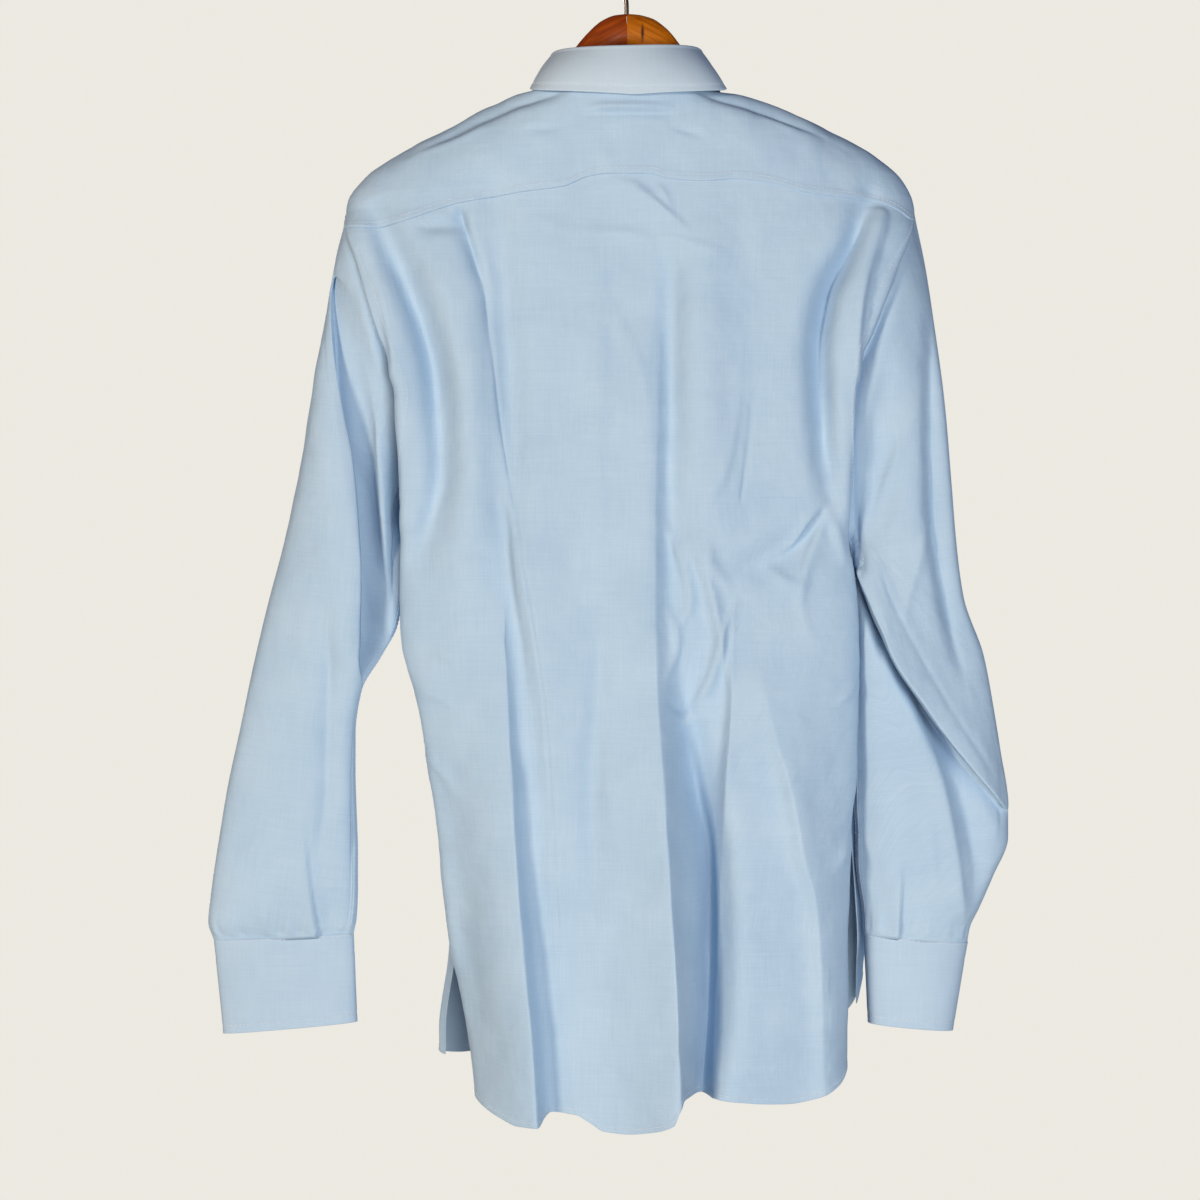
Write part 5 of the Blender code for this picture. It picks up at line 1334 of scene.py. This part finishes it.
def make_sleeve(name, side, material, thread):
    turn, along, proud, sunk = (forearm_grid if side == LEFT else elbow_grid)(side)
    hanging = ("front crease", "fold over the elbow")

    def plain(turn, along):
        return sleeve(side, turn, along, without=hanging)

    normals = base_normals(plain, turn, along, 0.002, 0.002, 0.0)
    level = (1 - np.abs(around_once(turn)) ** 12) * smooth_step(along / 0.07)
    points = plain(turn, along) + normals * (proud * level)[..., None]
    points[..., 1] -= sunk * level
    middle = float(points[..., 1].mean())
    behind = np.sin(2 * math.pi * turn) > 0
    down = run_lengths(points, 1)
    to_cuff = down[:, -1:] - down
    x, z = points[..., 0], points[..., 2]
    relief = np.where(behind, fold_relief(SLEEVE_CREASES[side], x, z), 0.0)
    relief += crumple(points, WORN, 61 if side == LEFT else 71)
    calm = (1 - np.abs(around_once(turn)) ** 14) * smooth_step(down / 7)
    across = turn[:, -1:] + 0 * turn
    # The fullness is gathered into the cuff in short uneven ripples, and eased into the armhole.
    ripple = soft_noise(across * 260, 0 * z, 6, 81 + side) * 1.5 * np.exp(-((to_cuff / 13) ** 1.5))
    ease = soft_noise(across * 260, 0 * z, 9, 91 + side) * 0.6 * np.exp(-((down / 12) ** 2))
    relief = relief * calm + ripple * smooth_step(to_cuff / 5) * calm + ease * smooth_step(down / 3)
    # The underarm seam is felled: its allowance lies behind it under two rows of stitches.
    from_seam = run_lengths(points[::-1], 0)[::-1]
    relief += band(from_seam, 9.0, height=0.8) * smooth_step(from_seam / 1.5) * smooth_step(down / 6)
    points = points + normals * relief[..., None]
    points[:, -1] = cuff(side, turn[:, -1] % 1.0, 2.5 / CUFF_HEIGHT)
    points[-1] = points[0]
    piece = cloth("sleeve_" + name + "_tube", [points], material, "sleeve_" + name, middle=middle, weld=True,
                  warp=(side * 0.14, 0, -1))
    rows = [contour(points[:, 4:-4], normals[:, 4:-4], from_seam[:, 4:-4], away, 0)
            for away in FELLED_STITCHES]
    sewing = stitches("sleeve_" + name + "_stitches", rows, thread)
    make_sleeve_placket(name, side, material, thread)


def make_sleeve_placket(name, side, material, thread):
    around = np.linspace(0, 1, 14)[:, None]
    up = np.linspace(0, 1, 60)[None, :]
    at_turn = SLEEVE_PLACKET_TURN[0] + around * (SLEEVE_PLACKET_TURN[1] - SLEEVE_PLACKET_TURN[0]) + 0 * up
    points = sleeve(side, at_turn, 0.992 - SLEEVE_PLACKET_LENGTH * up + 0 * around)
    points[..., 1] -= SLEEVE_PLACKET_LIFT
    piece = cloth("sleeve_placket_" + name + "_band", [points], material, "sleeve_placket_" + name,
                  wall=DOUBLE_CLOTH, outward=(0, -1, 0))
    normals = normals_of(points, outward=(0, -1, 0))
    rows = [(points[1], normals[1]), (points[-2], normals[-2])]
    sewing = stitches("sleeve_placket_" + name + "_stitches", rows, thread, wall=DOUBLE_CLOTH)


def make_cuff(name, side, material, thread):
    around = np.linspace(0, 1, 170)[:, None]
    down = spread(16, CUFF_HEIGHT, fine_start=(0.8, 5.6, 6.4, 7.2, 12.8, 14, 15.2),
                  fine_end=(0.8, 5.6, 6.4, 7.2))[None, :]
    points = cuff(side, CUFF_START + around * (1 + CUFF_LAP) + 0 * down, down + 0 * around)
    normals = normals_of(points, middle=0.0)
    length = run_lengths(points, 1)
    to_edge = length[:, -1:] - length
    relief = band(to_edge, 7.5, height=0.0) + 0.4 * crumple(points, 1.0, 101 + side)
    relief -= 0.3 * np.exp(-(((length - 14) / 1.2) ** 2))
    points = points + normals * relief[..., None]
    piece = cloth("cuff_" + name + "_band", [points], material, "cuff_" + name, wall=DOUBLE_CLOTH, middle=0.0)
    rows = [contour(points, normals, to_edge, CUFF_EDGE_STITCH, 1),
            contour(points, normals, length, CUFF_SEAM_STITCH, 1)]
    sewing = stitches("cuff_" + name + "_stitches", rows, thread, wall=DOUBLE_CLOTH)


def turned_button(mesh, centre, normal, radius):
    """A button turned on a lathe: a dished face inside a rounded rim."""
    profile = ((0.001, 0.55), (0.55, 0.55), (0.66, 0.72), (0.80, 0.98), (0.90, 0.92), (0.99, 0.60),
               (1.0, 0.30), (0.93, 0.04), (0.001, 0.0))
    normal = np.asarray(normal, float) / np.linalg.norm(normal)
    side = np.cross(normal, (0.0, 0.0, 1.0))
    side /= np.linalg.norm(side)
    verts = [mesh.verts.new((centre + side * radius * r + normal * BUTTON_THICK * h) * MM)
             for r, h in profile]
    edges = [mesh.edges.new(pair) for pair in zip(verts, verts[1:])]
    bmesh.ops.spin(mesh, geom=verts + edges, cent=centre * MM, axis=normal, angle=2 * math.pi, steps=28,
                   use_merge=True)


def make_button(name, centre, normal, radius, material, thread):
    centre, normal = np.asarray(centre, float), np.asarray(normal, float) / np.linalg.norm(normal)
    mesh = bmesh.new()
    turned_button(mesh, centre, normal, radius)
    join_up(mesh, 0.00003)
    finish_piece(name + "_turned", mesh, material, name)
    side = np.cross(normal, (0.0, 0.0, 1.0))
    side /= np.linalg.norm(side)
    rise = np.cross(side, normal)
    rows = []
    for across in (-1.1, -0.75, 0.75, 1.1):
        steps = np.linspace(-1.5, 1.5, 9)[:, None]
        hump = BUTTON_THICK * 0.55 + 0.35 * np.cos(steps / 1.5 * math.pi / 2)
        line = centre + side * across + rise * steps + normal * hump
        rows.append((line, np.tile(normal, (9, 1))))
    stitches(name + "_thread", rows, thread, wall=0.0, radius=BUTTON_THREAD_RADIUS)


def surface_normal(surface, a, b, step_a, step_b):
    a, b = np.array([a], float), np.array([b], float)
    one = surface(a + step_a, b) - surface(a - step_a, b)
    two = surface(a, b + step_b) - surface(a, b - step_b)
    normal = np.cross(one, two)[0]
    return -normal if normal[1] > 0 else normal


def make_buttons(material, thread):
    for number in range(FRONT_BUTTONS):
        ring = FRONT_BUTTON_TOP_Z - FRONT_BUTTON_PITCH * number
        centre = placket_point(np.array([0.0]), np.array([ring]))[0]
        normal = surface_normal(placket_point, 0.0, ring, 4, 6)
        centre = centre + normal / np.linalg.norm(normal) * 0.9
        make_button(f"button_front_{number + 1}", centre, normal, BUTTON_RADIUS, material, thread)

    def stand_outside(place, up):
        return stand(place, up) + 2.3 * collar_out(place)

    normal = surface_normal(stand_outside, 1.0, 0.5, 0.01, 0.2)
    centre = stand_outside(np.array([1.0]), np.array([0.5]))[0] + normal / np.linalg.norm(normal) * 0.9
    make_button("button_collar", centre, normal, BUTTON_RADIUS, material, thread)
    for name, side in (("button_cuff_left", LEFT), ("button_cuff_right", RIGHT)):
        turn = 1 + CUFF_START + CUFF_LAP / 2
        normal = surface_normal(lambda a, b, side=side: cuff(side, a, b), turn, 0.5, 0.02, 0.2)
        centre = cuff(side, np.array([turn]), np.array([0.5]))[0] + normal / np.linalg.norm(normal) * 1.0
        make_button(name, centre, normal, BUTTON_RADIUS, material, thread)


def make_arm(name, side, material):
    """A half of the hanger: an oval section swept under the shoulder, with a softly rounded end."""
    rows = HANGER_ARM
    x = np.concatenate([[0.15], np.linspace(1.0, 203, 90), [204.6, 205.6, 206.0]])
    top, depth, high, wide = (curve(rows["x"], rows[key], x)
                              for key in ("top_z", "y", "half_high", "half_wide"))
    top = top + curve(ARM_RISE["x"], ARM_RISE[side], x)
    slope = np.gradient(top, x)
    slope[0] = 0.0
    length = np.hypot(1, slope)
    shrink = np.ones_like(x)
    shrink[-3:] = (0.86, 0.6, 0.02)
    angle = np.linspace(0, 2 * math.pi, 41)[:, None]
    up = high * shrink * np.cos(angle) - high
    points = np.stack([side * (x - slope / length * up), depth + wide * shrink * np.sin(angle),
                       top + up / length], axis=-1)
    mesh = bmesh.new()
    add_grid(mesh, points, np.zeros((*points.shape[:2], 2)).tolist())
    bmesh.ops.remove_doubles(mesh, verts=mesh.verts, dist=WELD)
    bmesh.ops.holes_fill(mesh, edges=[edge for edge in mesh.edges if edge.is_boundary], sides=0)
    bmesh.ops.recalc_face_normals(mesh, faces=mesh.faces)
    piece = finish_piece(name + "_wood", mesh, material, name)
    piece.data.set_sharp_from_angle(angle=math.radians(50))
    return piece


def make_hanger():
    dark = varnished_wood("varnished beech dark", "#602200", "#964404", LEFT)
    light = varnished_wood("varnished beech light", "#7E3E00", "#B26A04", RIGHT,
                           knot=(-0.0128, 0.007, -0.0700))
    make_arm("hanger_left", LEFT, dark)
    make_arm("hanger_right", RIGHT, light)
    make_hook()


def make_hook():
    """The wire hook: a stem that rises from the wood, leans out and goes round over the origin."""
    points = [(0.0, WOOD_TOP_Z - 2), (0.0, WOOD_TOP_Z + 7), (0.4, WOOD_TOP_Z + 12), (4.0, WOOD_TOP_Z + 18)]
    middle_z = HOOK_WIRE - HOOK_BEND
    for step in range(57):
        bend = math.radians(-52 + step * 4.25)
        points.append((HOOK_BEND * math.cos(bend), middle_z + HOOK_BEND * math.sin(bend)))
    line = np.array(points)
    length = lengths_along(line)
    at = np.linspace(0, length[-1], 130)
    middle = np.stack([np.interp(at, length, line[:, 0]), 0 * at, np.interp(at, length, line[:, 1])], axis=-1)
    for _ in range(6):
        middle[1:-1] = (middle[:-2] + 2 * middle[1:-1] + middle[2:]) / 4
    beside = np.cross((0.0, 1.0, 0.0), unit(np.gradient(middle, axis=0)))
    thick = np.full(len(at), HOOK_WIRE)
    thick[-4:] = HOOK_WIRE * np.array((0.95, 0.8, 0.5, 0.02))
    thick[0] = 0.02
    angle = np.linspace(0, 2 * math.pi, 17)[:, None, None]
    points = middle + thick[:, None] * (beside * np.cos(angle) + np.array((0.0, 1.0, 0.0)) * np.sin(angle))
    mesh = bmesh.new()
    add_grid(mesh, points, np.zeros((*points.shape[:2], 2)).tolist())
    join_up(mesh)
    finish_piece("hanger_hook_wire", mesh, drawn_steel_wire(), "hanger_hook")


def area_light(name, place, aim, size, power, colour):
    data = bpy.data.lights.new(name, "AREA")
    data.shape = "RECTANGLE"
    data.size, data.size_y = size
    data.energy = power
    data.color = linear(colour)[:3]
    light = bpy.data.objects.new(name, data)
    light.location = place
    light.rotation_euler = (Vector(aim) - Vector(place)).to_track_quat("-Z", "Y").to_euler()
    bpy.context.scene.collection.objects.link(light)


def make_stage():
    """A floor far below, soft light from behind the camera and also before the front, and the camera."""
    mesh = bmesh.new()
    bmesh.ops.create_circle(mesh, cap_ends=True, segments=96, radius=FLOOR_RADIUS)
    for vertex in mesh.verts:
        vertex.co.z = FLOOR_Z
    data = bpy.data.meshes.new("floor")
    mesh.to_mesh(data)
    mesh.free()
    material, _ = new_material("matt plaster", {"Roughness": 0.9, "Base Color": linear("#B9B6AE")})
    data.materials.append(material)
    floor = bpy.data.objects.new("floor", data)
    bpy.context.scene.collection.objects.link(floor)

    world = bpy.data.worlds.new("pale room")
    world.use_nodes = True
    # The room is seen as pale walls, but its light on the cloth is cooler and weaker, for the folds' shade.
    seen = add_node(world, "ShaderNodeLightPath").outputs["Is Camera Ray"]
    strength = add_node(world, "ShaderNodeMapRange", {"To Min": ROOM_LIGHT, "To Max": WALLS_SEEN},
                        {"Value": seen})
    colour = add_node(world, "ShaderNodeMix", {"data_type": "RGBA"}, {0: seen})
    colour.inputs[6].default_value = linear("#6E9FF2")
    colour.inputs[7].default_value = linear("#F4F1E9")
    background = world.node_tree.nodes["Background"]
    world.node_tree.links.new(colour.outputs[2], background.inputs["Color"])
    world.node_tree.links.new(strength.outputs["Result"], background.inputs["Strength"])
    bpy.context.scene.world = world
    bpy.context.scene.view_settings.view_transform = "Standard"
    aim = (0.0, 0.0, -0.5)
    for half, name, away, power in ((BACK, "", 2.1, 74), (FRONT, "front ", -0.6, 42)):
        area_light(name + "window", (half * away, half * 2.4, 0.15), aim, (0.6, 0.6), power, "#FFE2C2")
        area_light(name + "low fill", (half * -0.8, half * 2.6, -1.0), aim, (1.4, 0.5), 50, "#FFF2E6")
        area_light(name + "side fill", (half * -1.4, half * 3.0, -0.5), aim, (1.2, 1.2), 14, "#FFF4EC")

    # The camera frames 960 mm of a plane just behind the hanger, seen square on.
    camera = bpy.data.cameras.new("camera")
    camera.sensor_width = SENSOR
    camera.lens = SENSOR * CAMERA_DISTANCE / PICTURE_SIZE
    eye = bpy.data.objects.new("camera", camera)
    eye.location = (PICTURE_CENTRE[0], PICTURE_PLANE_Y + CAMERA_DISTANCE, PICTURE_CENTRE[1])
    eye.rotation_euler = (math.radians(90), 0.0, math.radians(180))
    bpy.context.scene.collection.objects.link(eye)
    bpy.context.scene.camera = eye


main()
